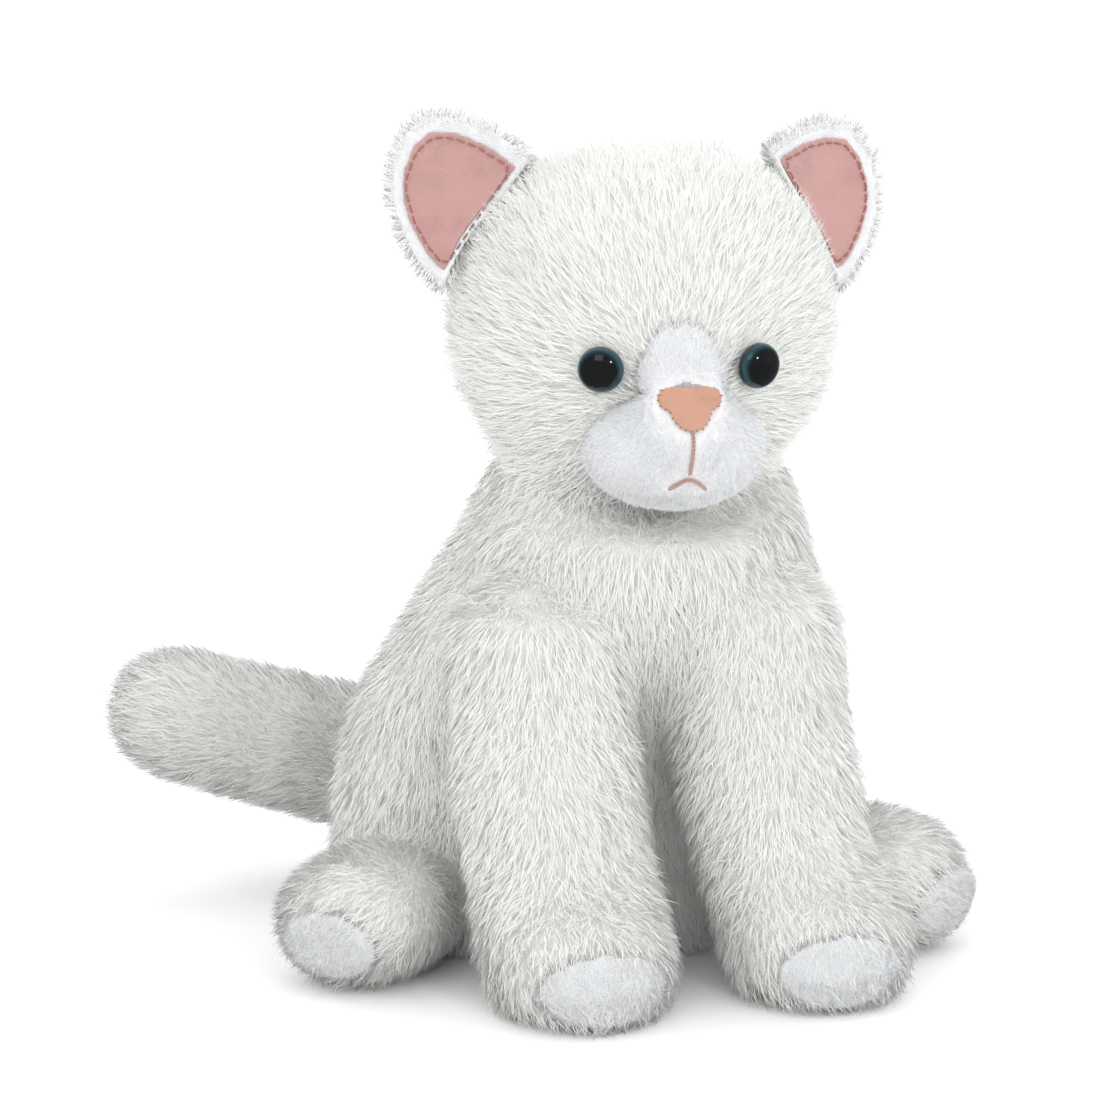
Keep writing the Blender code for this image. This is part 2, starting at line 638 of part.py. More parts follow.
def make_ear(name, pivot, looks):
    frame = ear_frame(name)
    front = [ear_ring(frame, share, 0) for share in EAR_RING_SHARES]
    back = [ear_ring(frame, share, -EAR_THICKNESS) for share in EAR_RING_SHARES]
    loft("ear_back_" + name, front + back[::-1], looks["fur"], pivot)
    front = [ear_ring(frame, share, GAP + LINING_THICKNESS) for share in LINING_RING_SHARES]
    back = [ear_ring(frame, share, GAP) for share in LINING_RING_SHARES]
    loft("ear_lining_" + name, front + back[::-1], looks["lining"], pivot)
    lift = 2 * GAP + LINING_THICKNESS + TOPSTITCH_RADIUS + THREAD_LIFT
    stitch = ear_ring(frame, TOPSTITCH_SCALE, lift)[: len(EAR_OUTLINE)]
    thread("ear_topstitch_" + name, stitch, TOPSTITCH_RADIUS, looks["pink_thread"], pivot)


def make_front_leg(name, pivot, looks, torso):
    side = SIDES[name]
    outer = leg_rings(side, 0, OPEN_ROOT)
    inner = leg_rings(side, -FABRIC, OPEN_ROOT)
    loft("front_leg_skin_" + name, outer + inner[::-1], looks["fur"], pivot)
    loft("front_leg_stuffing_" + name, leg_rings(side, -FABRIC - GAP), looks["filling"], pivot)
    pad = loft("front_toe_pad_" + name, leg_rings(side, GAP + FABRIC), looks["short_fur"], pivot)
    cut(pad, loft("cut_toe_inner_" + name, leg_rings(side, GAP), looks["fur"], pivot))
    place = Vector((side * TOE_PAD_CENTRE.x, TOE_PAD_CENTRE.y, TOE_PAD_CENTRE.z))
    cut(pad, loft("cut_toe_zone_" + name, ball_rings(place, TOE_PAD_RADII), looks["fur"], pivot), "INTERSECT")
    cutter = loft("cut_leg_" + name, leg_rings(side, CLEARANCE), looks["fur"], pivot)
    for target in torso:
        cut(target, cutter)


def make_hind_leg(name, pivot, looks, torso):
    side = SIDES[name]
    outer = hind_rings(name, 0, open_root=True)
    inner = hind_rings(name, -FABRIC, open_root=True)
    loft("hind_leg_skin_" + name, outer[::-1] + inner, looks["fur"], pivot)
    loft("hind_leg_stuffing_" + name, hind_rings(name, -FABRIC - GAP), looks["filling"], pivot)
    pad = loft("hind_sole_pad_" + name, hind_rings(name, GAP + FABRIC), looks["short_fur"], pivot)
    cut(pad, loft("cut_sole_inner_" + name, hind_rings(name, GAP), looks["fur"], pivot))
    turn = HIP_TURN[name]
    reach = SOLE_CENTRE.x
    place = Vector((SWAY + side * (HIP.x + reach * cos(turn)), HIP.y - reach * sin(turn), SOLE_CENTRE.z))
    zone = loft("cut_sole_zone_" + name, ball_rings(place, SOLE_RADII), looks["fur"], pivot)
    cut(pad, zone, "INTERSECT")
    cutter = loft("cut_hip_" + name, hind_rings(name, CLEARANCE, room=HIP_ROOM), looks["fur"], pivot)
    for target in torso:
        cut(target, cutter)


def make_tail(base_pivot, pivot, looks, torso):
    ring = turned(TAIL_ROOT, Vector((0, 1, 0)), [(0, TAIL_THREAD_RADIUS)], CUTTER_SEGMENTS)[0]
    thread("tail_seam_thread", ring, THREAD, looks["thread"], base_pivot, closed=True)
    outer = tail_rings(0, open_root=True)
    inner = tail_rings(-FABRIC, open_root=True)
    loft("tail_skin", outer[::-1] + inner, looks["fur"], pivot)
    loft("tail_stuffing", tail_rings(-FABRIC - GAP), looks["filling"], pivot)
    socket = TAIL_THREAD_RADIUS + THREAD + SOCKET_ROOM
    profile = [(-socket * sin(a), socket * cos(a)) for a in map(radians, SOCKET_LATITUDES)]
    profile.append((socket, socket * (1 + tan(SOCKET_FLARE))))
    cutter = loft("cut_tail", turned(TAIL_ROOT, Vector((0, 1, 0)), profile, SOCKET_SEGMENTS), looks["fur"], pivot)
    for target in torso:
        cut(target, cutter)


def make_looks():
    return {
        "fur": material("long_pile_fur", WHITE_FUR, 0.9),
        "short_fur": material("short_pile_fur", SHORT_FUR, 0.9),
        "filling": material("polyester_filling", FILLING, 0.95),
        "pouch": material("pouch_cloth", (0.8, 0.78, 0.72), 0.85),
        "thread": material("white_thread", (0.86, 0.86, 0.84), 0.8),
        "pink_thread": material("pink_thread", (0.78, 0.42, 0.42), 0.7),
        "label": material("label_satin", (0.92, 0.92, 0.9), 0.5),
        "lining": material("pink_velour", (0.8, 0.45, 0.44), 0.6),
        "nose": material("peach_felt", (0.8, 0.47, 0.34), 0.85),
        "eye_black": material("eye_black_plastic", (0.01, 0.012, 0.016), 0.2),
        "eye_lens": material("eye_clear_plastic", (0.2, 0.28, 0.32), 0.03),
        "washer": material("washer_plastic", (0.85, 0.85, 0.82), 0.4),
    }


def main():
    clear_scene()
    looks = make_looks()
    body_pivot = pivot_empty("body_base", Vector())
    head_pivot = pivot_empty("head_pivot", HEAD_CENTRE, HEAD_YAW)
    torso = make_torso(body_pivot, looks)
    make_back_seam(body_pivot, looks)
    make_label(body_pivot, looks)
    make_neck(head_pivot, looks)
    skin, stuffing = make_head(head_pivot, looks)
    make_muzzle(head_pivot, looks)
    make_nose(head_pivot, looks)
    make_mouth(head_pivot, looks)
    for name, side in SIDES.items():
        make_eye(name, head_pivot, looks, skin, stuffing)
        ear_pivot = pivot_empty("ear_pivot_" + name, ear_frame(name)[0], HEAD_YAW)
        make_ear(name, ear_pivot, looks)
        shoulder = Vector((side * SHOULDER.x + SWAY, SHOULDER.y, SHOULDER.z))
        make_front_leg(name, pivot_empty("shoulder_pivot_" + name, shoulder), looks, torso)
        hip = Vector((side * HIP.x + SWAY, HIP.y, HIP.z))
        make_hind_leg(name, pivot_empty("hip_pivot_" + name, hip), looks, torso)
    make_tail(pivot_empty("tail_base_pivot", TAIL_ROOT), pivot_empty("tail_pivot", TAIL_ROOT), looks, torso)


main()
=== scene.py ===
"""The looks of a seated white plush cat: pile fabric over stuffing, on forms that follow the CAD parts.

Lengths are in metres unless a name says mm. The cat faces -Y, and its left side is towards +X.
"""

import json
import math
from collections import namedtuple

import bmesh
import bpy
import numpy as np
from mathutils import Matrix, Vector
from mathutils.bvhtree import BVHTree
from mathutils.kdtree import KDTree


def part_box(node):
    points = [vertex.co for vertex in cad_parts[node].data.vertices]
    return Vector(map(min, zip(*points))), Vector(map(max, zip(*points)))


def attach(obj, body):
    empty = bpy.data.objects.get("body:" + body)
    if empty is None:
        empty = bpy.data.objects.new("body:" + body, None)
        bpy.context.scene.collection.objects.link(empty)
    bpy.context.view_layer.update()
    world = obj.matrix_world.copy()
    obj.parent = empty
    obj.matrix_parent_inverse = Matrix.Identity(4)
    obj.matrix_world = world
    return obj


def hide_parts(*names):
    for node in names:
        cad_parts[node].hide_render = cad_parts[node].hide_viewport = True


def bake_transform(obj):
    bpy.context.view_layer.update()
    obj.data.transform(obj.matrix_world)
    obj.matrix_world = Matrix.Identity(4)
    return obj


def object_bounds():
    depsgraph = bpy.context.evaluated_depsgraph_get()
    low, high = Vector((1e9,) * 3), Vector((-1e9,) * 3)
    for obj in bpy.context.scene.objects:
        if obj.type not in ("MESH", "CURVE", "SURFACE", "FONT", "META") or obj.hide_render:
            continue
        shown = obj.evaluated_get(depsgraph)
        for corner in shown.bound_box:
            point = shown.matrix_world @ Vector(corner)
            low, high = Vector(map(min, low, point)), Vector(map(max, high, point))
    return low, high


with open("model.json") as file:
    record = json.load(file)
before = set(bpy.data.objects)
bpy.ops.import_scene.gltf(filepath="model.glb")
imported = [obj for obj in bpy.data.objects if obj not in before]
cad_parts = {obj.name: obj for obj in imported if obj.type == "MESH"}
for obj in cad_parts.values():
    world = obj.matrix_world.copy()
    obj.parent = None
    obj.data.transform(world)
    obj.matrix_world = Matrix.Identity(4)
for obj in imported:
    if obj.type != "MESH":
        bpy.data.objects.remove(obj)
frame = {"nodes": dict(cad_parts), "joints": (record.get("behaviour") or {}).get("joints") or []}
cad_low, cad_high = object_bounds()

MM = 0.001
SIDES = ("left", "right")
LIMBS = ("front_leg_left", "front_leg_right", "hind_leg_left", "hind_leg_right")
BODY_PARTS = ("torso", "head", "tail", *LIMBS)
JOINTS = {joint["name"]: joint for joint in frame["joints"]}

# Forms
WELD = 1e-6
CLOSING = 1.5 * MM  # how far the skins grow before they are joined, so that gaps at the seams close
CLOTH_INSET = 0.9 * MM  # the joined form lies this far under the CAD skin, the middle of the pile
TRIM_RISE = 0.1 * MM  # smoothing draws a small cloth in, and this puts it back
BODY_VOXEL = 2.0 * MM
CLOTH_VOXEL = 2.4 * MM
FACE_VOXEL = 1.2 * MM
LUMP_SIZE = 17 * MM
LUMP_HEIGHT = 0.9 * MM
LUMP_SEED = 3
NOISE_CELLS = 32
SEAM_GROWTH = 3.6 * MM  # how far each body cloth grows, so that it fills the gap at its seams
UNDER_FORM = 0.25 * MM  # and how far below the joined form it stays

# Pile
Pile = namedtuple("Pile", "density length width lean clump_mm clump wander")
LONG_PILE = Pile(1.5e6, 7.8 * MM, 0.32 * MM, 0.9, 3.6, 0.42, 0.42)
SHORT_PILE = Pile(5.5e6, 2.1 * MM, 0.18 * MM, 0.8, 1.2, 0.2, 0.25)
EAR_PILE = Pile(3.2e6, 3.6 * MM, 0.24 * MM, 0.7, 2.0, 0.3, 0.35)
COMB_WAVES = ((9 * MM, 0.6), (3.2 * MM, 0.5))  # the size and height of the slow turns in the pile
STRAND_STRAY = 0.22
RISE_MIX = (0.85, 0.8)  # a strand sets out along this much of the normal and of its lean
FALL_MIX = (0.3, 1.3)  # and ends along this much of them
LENGTH_SPREAD = (0.72, 0.4)  # the least, and how much more at random
WIDTH_SPREAD = (0.7, 0.6)
TUFT_SPREAD = (0.6, 0.8)
TUFT_MIDDLE = 0.5
TUFT_STRAY = 0.42  # how far a tuft lies from the middle of its cell
TWIST_STRAY = 0.35
TINT_SIZE = 7 * MM
TINT_WAVE = 0.22
TINT_STRAY = 0.12
SHADING_LEAN = 0.2
SHADING_STRAY = 0.08
STRAND_LEVELS = (0.0, 0.52)
STRAND_WIDTHS = (1.0, 0.85)
STRAND_SIDES = 3
STRAND_FLATNESS = 0.4
ROUNDING = 0.7  # how far the shading of a strand follows its own roundness
MOST_STRANDS = 21000  # in one piece
FLOOR_GAP = 0.15 * MM
COVERED = 0.8 * MM  # a root this deep in another form grows nothing
COVERED_SLOPE = 0.75  # and it lies this nearly straight below that form's surface
UNDERSIDE_SLOPE = -0.75
UNDERSIDE_HEIGHT = 4 * MM
UNDERSIDE_SHARE = 0.3  # how much of its pile an underside keeps

EYE_BARE = 5.2 * MM
EYE_SHORT = 13 * MM
TAIL_BEND = 24 * MM

# Trim
LOOP_GROUPS = 40
LINE_GROUPS = 6
STITCH_POINTS = 7
PLY_POINTS = 10
EYE_EDGE = 1.2 * MM
EYE_LEVELS = 14
EYE_SEGMENTS = 64
MUZZLE_RISE = 0.7 * MM
NOSE_SEAT = 7.0 * MM
NOSE_SWELL = 16.0 * MM
NOSE_VOXEL = 0.35 * MM
NOSE_CROWN = 0.7 * MM
NOSE_GRAIN = 0.09 * MM
NOSE_STITCH_STEP = 1.5 * MM
NOSE_STITCH_RADIUS = 0.2 * MM
NOSE_STITCH_OUT = 0.3 * MM
NOSE_STITCH_DOWN = 0.5 * MM
NOSE_STITCH_IN = 1.1 * MM
NOSE_STITCH_UP = 0.25 * MM
NOSE_STITCH_LIFT = 0.35 * MM
MOUTH_POINTS = 24
MOUTH_THREAD = 0.5 * MM
MOUTH_LIFT = 0.7 * MM
MOUTH_LAY = 1.8 * MM
MUZZLE_NODES = ("muzzle_panel", "muzzle_stuffing")
MOUTH_NODES = (("mouth_line_stitch", 2), ("mouth_arc_stitch", 0))  # and the axis that each runs along
SIDEWAYS = (0.31, 0.17, 0.93)  # no thread runs this way
PLY_OFFSET = 0.5  # of the thread's radius
PLY_RADIUS = 0.58
LINING_CLEAR = 1.9 * MM
LINING_VOXEL = 0.5 * MM
PUCKERS = ((5 * MM, 27, 0.25 * MM), (1.6 * MM, 28, 0.08 * MM))  # size, seed and height
LINING_POINTS = 160
TOPSTITCH_LIFT = 0.5 * MM
TOPSTITCH_STEP = 3.0 * MM
TOPSTITCH_SHARE = 0.72
TOPSTITCH_RADIUS = 0.26 * MM
LABEL_GAP = 0.6 * MM
LABEL_STEPS = 12
LABEL_ACROSS = 14
LABEL_CURL = 1.2 * MM
LABEL_WAVE = 2.4
LABEL_FOLD_STEPS = 7

# Stage
FLOOR_SIZE = 60.0
FLOOR_COLOUR = (0.99, 0.99, 0.99)
WORLD_STRENGTH = 1.2
SEEN_STRENGTH = 1.05  # what the camera sees behind the cat
MIRRORED_STRENGTH = 0.2  # what the eyes reflect
LIGHTS = (  # name, place, size and power
    ("key_light", (-0.55, -0.75, 0.85), 0.6, 1.3),
    ("fill_light", (0.95, -0.6, 0.45), 0.8, 0.15),
    ("top_light", (0.1, 0.25, 1.1), 0.7, 0.7),
    ("spark_light", (0.2, -0.9, 0.5), 0.1, 0.9),
)
CAMERA_AZIMUTH = -16.0
CAMERA_ELEVATION = 10.0
CAMERA_DISTANCE = 1.0
CAMERA_LENS = 123.6
CAMERA_SENSOR = 36.0
CAMERA_TARGET = (-0.02076, 0.00595, 0.105)

# Each root colour is its tip colour darkened: painted shade deep in the pile.
WHITE_TIP = (0.95, 0.965, 0.94)
SHADED_WHITE_ROOT = (0.90, 0.905, 0.875)
SHORT_TIP = (0.89, 0.905, 0.93)
SHADED_SHORT_ROOT = (0.88, 0.89, 0.91)
# Painted shade: the tail's pile is the same white pile, darkened all over.
TAIL_PAINTED_SHADE = 0.9
STRAND_TINTS = ((0.0, (0.93, 0.925, 0.91)), (0.5, (0.975, 0.975, 0.97)), (1.0, (1, 1, 1)))
BACKING = (0.84, 0.83, 0.80)
SHORT_BACKING = (0.84, 0.85, 0.87)
FELT = (0.53, 0.29, 0.205)
VELOUR = (0.54, 0.31, 0.29)
SATIN = (0.88, 0.87, 0.84)
WASHER = (0.82, 0.82, 0.80)
THREADS = {
    "edge": (0.36, 0.17, 0.12),
    "nose": (0.50, 0.31, 0.27),
    "ear": (0.38, 0.15, 0.14),
    "white": (0.85, 0.84, 0.80),
}
EYE_RINGS = (  # from the middle of the eye out to its rim
    (0.0, (0.004, 0.005, 0.006)),
    (0.34, (0.004, 0.005, 0.006)),
    (0.38, (0.008, 0.028, 0.034)),
    (0.425, (0.02, 0.075, 0.09)),
    (0.45, (0.006, 0.015, 0.02)),
)


# Numbers


def unit(vectors):
    return vectors / np.maximum(np.linalg.norm(vectors, axis=1), 1e-12)[:, None]


def lattice_values(seed):
    """A cube of random vectors, each part from -1 to 1."""
    return np.random.default_rng(seed).uniform(-1, 1, (NOISE_CELLS, NOISE_CELLS, NOISE_CELLS, 3))


def smooth_noise(points, size, seed):
    """A smooth random vector at each point, about as fine as size, each part from -1 to 1."""
    table = lattice_values(seed)
    place = points / size
    cell = np.floor(place).astype(int)
    share = place - cell
    share = share * share * (3 - 2 * share)
    total = np.zeros((len(points), 3))
    for corner in np.ndindex(2, 2, 2):
        weight = np.prod(np.where(corner, share, 1 - share), axis=1)
        index = (cell + corner) % NOISE_CELLS
        total += weight[:, None] * table[index[:, 0], index[:, 1], index[:, 2]]
    return total


def tuft_centres(points, size, seed):
    """The nearest of a set of scattered points, about size apart, to each point."""
    table = lattice_values(seed) * TUFT_STRAY + TUFT_MIDDLE
    cell = np.floor(points / size).astype(int)
    best = np.full(len(points), np.inf)
    nearest = np.zeros_like(points)
    for step in np.ndindex(3, 3, 3):
        beside = cell + np.array(step) - 1
        index = beside % NOISE_CELLS
        centre = (beside + table[index[:, 0], index[:, 1], index[:, 2]]) * size
        distance = ((centre - points) ** 2).sum(1)
        closer = distance < best
        best[closer] = distance[closer]
        nearest[closer] = centre[closer]
    return nearest


def smooth_share(value, low, high):
    """0 below low, 1 above high, and smooth between them."""
    share = np.clip((value - low) / (high - low), 0, 1)
    return share * share * (3 - 2 * share)


# Meshes


def link(obj):
    bpy.context.scene.collection.objects.link(obj)
    return obj


def node_copy(names, grow=0.0):
    """A bmesh of copies of CAD nodes, their split corners welded, grown outwards."""
    shape = bmesh.new()
    for name in names:
        shape.from_mesh(frame["nodes"][name].data)
    bmesh.ops.remove_doubles(shape, verts=shape.verts, dist=WELD)
    shape.normal_update()
    for vert in shape.verts:
        vert.co += vert.normal * grow
    return shape


def applied(obj):
    """The object with its modifiers applied."""
    graph = bpy.context.evaluated_depsgraph_get()
    mesh = bpy.data.meshes.new_from_object(obj.evaluated_get(graph))
    obj.modifiers.clear()
    obj.data = mesh
    mesh.shade_smooth()
    return obj


def keep_largest(obj):
    """Removes every part of the mesh that isn't joined to its largest part."""
    shape = bmesh.new()
    shape.from_mesh(obj.data)
    shape.verts.ensure_lookup_table()
    seen = set()
    groups = []
    for start in shape.verts:
        if start.index in seen:
            continue
        group = [start]
        seen.add(start.index)
        for vert in group:
            for edge in vert.link_edges:
                other = edge.other_vert(vert)
                if other.index not in seen:
                    seen.add(other.index)
                    group.append(other)
        groups.append(group)
    largest = max(groups, key=len)
    spare = [vert for group in groups if group is not largest for vert in group]
    bmesh.ops.delete(shape, geom=spare, context="VERTS")
    shape.to_mesh(obj.data)
    shape.free()


def remeshed(name, shape, voxel, smoothing):
    """A closed object round a bmesh, as even small faces, relaxed."""
    data = bpy.data.meshes.new(name)
    shape.to_mesh(data)
    shape.free()
    obj = link(bpy.data.objects.new(name, data))
    voxels = obj.modifiers.new("voxels", "REMESH")
    voxels.mode = "VOXEL"
    voxels.voxel_size = voxel
    relax = obj.modifiers.new("relax", "SMOOTH")
    relax.factor = 0.5
    relax.iterations = smoothing
    applied(obj)
    keep_largest(obj)
    return obj


def rows_of(items, field, kind=float):
    """Three numbers from each item, as the rows of an array."""
    values = np.empty(len(items) * 3, kind)
    items.foreach_get(field, values)
    return values.reshape(-1, 3)


def points_of(obj):
    return rows_of(obj.data.vertices, "co")


def normals_of(obj):
    return rows_of(obj.data.vertex_normals, "vector")


def set_points(obj, places):
    obj.data.vertices.foreach_set("co", places.ravel())
    obj.data.update()


def tree_of(obj):
    corners = [vert.co for vert in obj.data.vertices]
    faces = [tuple(face.vertices) for face in obj.data.polygons]
    return BVHTree.FromPolygons(corners, faces)


def nearest_on(tree, places):
    """For each place: the nearest point on the form, its normal, and the distance, below 0 inside."""
    found = [tree.find_nearest(Vector(place)) for place in places]
    spots = np.array([f[0] for f in found])
    normals = np.array([f[1] for f in found])
    distance = np.array([f[3] for f in found])
    outside = ((places - spots) * normals).sum(1)
    return spots, normals, np.where(outside < 0, -distance, distance)


# Materials


def new_material(name):
    made = bpy.data.materials.new(name)
    made.use_nodes = True
    tree = made.node_tree
    return made, tree, tree.nodes["Principled BSDF"]


def wire(tree, source, node, entry):
    tree.links.new(source, node.inputs[entry])


def set_inputs(node, values):
    for key, value in values.items():
        node.inputs[key].default_value = value


def add_node(tree, kind, inputs=None, **settings):
    node = tree.nodes.new(kind)
    for key, value in settings.items():
        setattr(node, key, value)
    set_inputs(node, inputs or {})
    return node


def ramp_node(tree, source, stops):
    """A colour ramp through (position, colour) stops."""
    ramp = add_node(tree, "ShaderNodeValToRGB")
    elements = ramp.color_ramp.elements
    while len(elements) < len(stops):
        elements.new(0.5)
    for element, (position, colour) in zip(elements, stops):
        element.position = position
        element.color = (*colour, 1)
    wire(tree, source, ramp, "Fac")
    return ramp.outputs["Color"]


def scaled(colour, by):
    return tuple(channel * by for channel in colour)


def strand_material(name, root, tip):
    """Pile: darker at the root as painted shade deep in the pile, with each strand's own tint."""
    made, tree, shader = new_material(name)
    place = add_node(tree, "ShaderNodeUVMap", uv_map="OFBake")
    parts = add_node(tree, "ShaderNodeSeparateXYZ")
    wire(tree, place.outputs["UV"], parts, "Vector")
    # Painted shade: the colour darkens from the tip down to the root.
    along = ramp_node(tree, parts.outputs["Y"], ((0.0, root), (0.5, tip), (1.0, tip)))
    tint = ramp_node(tree, parts.outputs["X"], STRAND_TINTS)
    mix = add_node(tree, "ShaderNodeMix", {"Factor": 1.0}, data_type="RGBA", blend_type="MULTIPLY")
    wire(tree, along, mix, "A")
    wire(tree, tint, mix, "B")
    wire(tree, mix.outputs["Result"], shader, "Base Color")
    set_inputs(shader, {"Roughness": 0.8, "Specular IOR Level": 0.2})
    return made


def cloth_material(name, colour, knit_mm=0.6):
    """The knitted backing under the pile, mottled a little darker in random patches."""
    made, tree, shader = new_material(name)
    place = add_node(tree, "ShaderNodeTexCoord")
    knit = add_node(tree, "ShaderNodeTexVoronoi", {"Scale": 1000 / knit_mm})
    mottle = add_node(tree, "ShaderNodeTexNoise", {"Scale": 260.0, "Detail": 4.0})
    for node in (knit, mottle):
        wire(tree, place.outputs["Object"], node, "Vector")
    shade = ramp_node(tree, mottle.outputs["Fac"], ((0.3, scaled(colour, 0.88)), (0.7, colour)))
    wire(tree, shade, shader, "Base Color")
    bump = add_node(tree, "ShaderNodeBump", {"Strength": 0.5, "Distance": 0.0004})
    wire(tree, knit.outputs["Distance"], bump, "Height")
    wire(tree, bump.outputs["Normal"], shader, "Normal")
    set_inputs(shader, {"Roughness": 0.95, "Sheen Weight": 0.3})
    return made


def fine_material(name, colour, dark, roughness, grain_mm, bump_depth, sheen=0.0, tint=(1, 1, 1)):
    """Cloth with a fine grain: two colours mixed by noise, and a bump of the same size."""
    made, tree, shader = new_material(name)
    place = add_node(tree, "ShaderNodeTexCoord")
    fine = {"Scale": 1000 / grain_mm, "Detail": 3.0, "Roughness": 0.65}
    grain = add_node(tree, "ShaderNodeTexNoise", fine)
    broad = add_node(tree, "ShaderNodeTexNoise", {"Scale": 120.0, "Detail": 3.0})
    for node in (grain, broad):
        wire(tree, place.outputs["Object"], node, "Vector")
    total = add_node(tree, "ShaderNodeMath")
    wire(tree, grain.outputs["Fac"], total, 0)
    wire(tree, broad.outputs["Fac"], total, 1)
    shade = ramp_node(tree, total.outputs["Value"], ((0.75, scaled(colour, dark)), (1.2, colour)))
    wire(tree, shade, shader, "Base Color")
    bump = add_node(tree, "ShaderNodeBump", {"Strength": 0.6, "Distance": bump_depth})
    wire(tree, grain.outputs["Fac"], bump, "Height")
    wire(tree, bump.outputs["Normal"], shader, "Normal")
    set_inputs(shader, {"Roughness": roughness, "Sheen Weight": sheen, "Sheen Tint": (*tint, 1)})
    return made


def eye_material():
    """Clear over a black pupil, with a thin teal ring near the edge."""
    made, tree, shader = new_material("glossy_eye")
    place = add_node(tree, "ShaderNodeUVMap", uv_map="OFBake")
    middle = add_node(tree, "ShaderNodeVectorMath", {1: (0.5, 0.5, 0.0)}, operation="DISTANCE")
    wire(tree, place.outputs["UV"], middle, 0)
    rings = ramp_node(tree, middle.outputs["Value"], EYE_RINGS)
    wire(tree, rings, shader, "Base Color")
    set_inputs(shader, {"Roughness": 0.3, "Specular IOR Level": 0.05})
    set_inputs(shader, {"Coat Weight": 1.0, "Coat Roughness": 0.03})
    return made


def thread_material(name, kind, dark=0.8, grain_mm=0.2):
    return fine_material(name, THREADS[kind], dark, 0.7, grain_mm, 0.0001)


def make_looks():
    # The tail's pile is the white pile darkened as painted shade.
    shaded_tail_root = scaled(SHADED_WHITE_ROOT, TAIL_PAINTED_SHADE)
    shaded_tail_tip = scaled(WHITE_TIP, TAIL_PAINTED_SHADE)
    return {
        "eye": eye_material(),
        "felt": fine_material("peach_felt", FELT, 0.86, 0.95, 0.35, 0.0002, 0.35, (1, 0.8, 0.7)),
        "edge_thread": thread_material("edge_thread", "edge"),
        "nose_thread": thread_material("peach_thread", "nose"),
        "velour": fine_material("pink_velour", VELOUR, 0.88, 0.8, 0.4, 0.00025, 0.5, (1, 0.8, 0.8)),
        "ear_thread": thread_material("pink_thread", "ear"),
        "satin": fine_material("blank_satin", SATIN, 0.95, 0.35, 0.25, 0.00005),
        "white_thread": thread_material("white_thread", "white", 0.85, 0.3),
        "washer": fine_material("washer_plastic", WASHER, 0.95, 0.5, 0.8, 0.00003),
        "long_pile": strand_material("long_white_pile", SHADED_WHITE_ROOT, WHITE_TIP),
        "tail_pile": strand_material("tail_white_pile", shaded_tail_root, shaded_tail_tip),
        "short_pile": strand_material("short_white_pile", SHADED_SHORT_ROOT, SHORT_TIP),
        "backing": cloth_material("white_backing", BACKING),
        "short_backing": cloth_material("short_backing", SHORT_BACKING, 0.4),
    }


# Forms


def skin_and_filling(part):
    """The CAD nodes of a stuffed part's skin and filling."""
    if part not in LIMBS:
        return [part + "_skin", part + "_stuffing"]
    kind, side = part.rsplit("_", 1)
    return [f"{kind}_skin_{side}", f"{kind}_stuffing_{side}"]


def joined_form():
    """One soft form round the whole cat, with the seams between its parts filled and rounded."""
    nodes = [node for part in BODY_PARTS for node in skin_and_filling(part)]
    form = remeshed("joined_form", node_copy(nodes, CLOSING), BODY_VOXEL, 12)
    places = points_of(form)
    lumps = smooth_noise(places, LUMP_SIZE, LUMP_SEED)[:, :1] * LUMP_HEIGHT
    set_points(form, places + normals_of(form) * (lumps - CLOSING - CLOTH_INSET))
    return form


def cloth_piece(name, nodes, joined, voxel=CLOTH_VOXEL, smoothing=3):
    """The backing cloth of a sewn part. Given a joined form, it fills its seams and stays under it."""
    growth = 0 if joined is None else SEAM_GROWTH
    obj = remeshed(name, node_copy(nodes, growth), voxel, smoothing)
    places = points_of(obj)
    if joined is None:
        places += normals_of(obj) * TRIM_RISE
    else:
        spots, normals, distance = nearest_on(joined, places)
        above = distance > -UNDER_FORM
        places[above] = (spots - normals * UNDER_FORM)[above]
    places[:, 2] = np.maximum(places[:, 2], FLOOR_GAP)
    set_points(obj, places)
    return obj


# Pile


def corners_of(obj):
    """The corners of the object's faces, as triangles."""
    obj.data.calc_loop_triangles()
    return rows_of(obj.data.loop_triangles, "vertices", np.int32)


def scattered(ground, density, random):
    """Points spread over the ground's faces, with the normals there."""
    obj, corners = ground
    places = points_of(obj)[corners]
    normals = normals_of(obj)[corners]
    sides = np.cross(places[:, 1] - places[:, 0], places[:, 2] - places[:, 0])
    area = np.linalg.norm(sides, axis=1) / 2
    count = int(area.sum() * density)
    pick = random.choice(len(area), count, p=area / area.sum())
    first, second = random.random((2, count))
    folded = first + second > 1
    first[folded], second[folded] = 1 - first[folded], 1 - second[folded]
    weights = np.stack([1 - first - second, first, second], axis=1)[:, :, None]
    return (places[pick] * weights).sum(1), unit((normals[pick] * weights).sum(1))


def combed(places, normals, flow, pile, seed, random):
    """Each strand's lean along the surface: the way it is brushed, with slow waves and its own stray."""
    waves = sum(smooth_noise(places, size, seed + i) * rise for i, (size, rise) in enumerate(COMB_WAVES))
    stray = random.normal(0, STRAND_STRAY, places.shape)
    lean = flow * pile.lean + waves * pile.wander + stray
    return lean - normals * (lean * normals).sum(1)[:, None]


def strand_faces():
    """One strand's triangles, as indices of its corners: the rings from its root up, then its tip."""
    tip = len(STRAND_LEVELS) * STRAND_SIDES
    faces = []
    for level in range(len(STRAND_LEVELS)):
        for side in range(STRAND_SIDES):
            low = level * STRAND_SIDES + side
            beside = level * STRAND_SIDES + (side + 1) % STRAND_SIDES
            if level == len(STRAND_LEVELS) - 1:
                faces.append((low, beside, tip))
            else:
                faces.append((low, beside, beside + STRAND_SIDES))
                faces.append((low, beside + STRAND_SIDES, low + STRAND_SIDES))
    return np.array(faces)


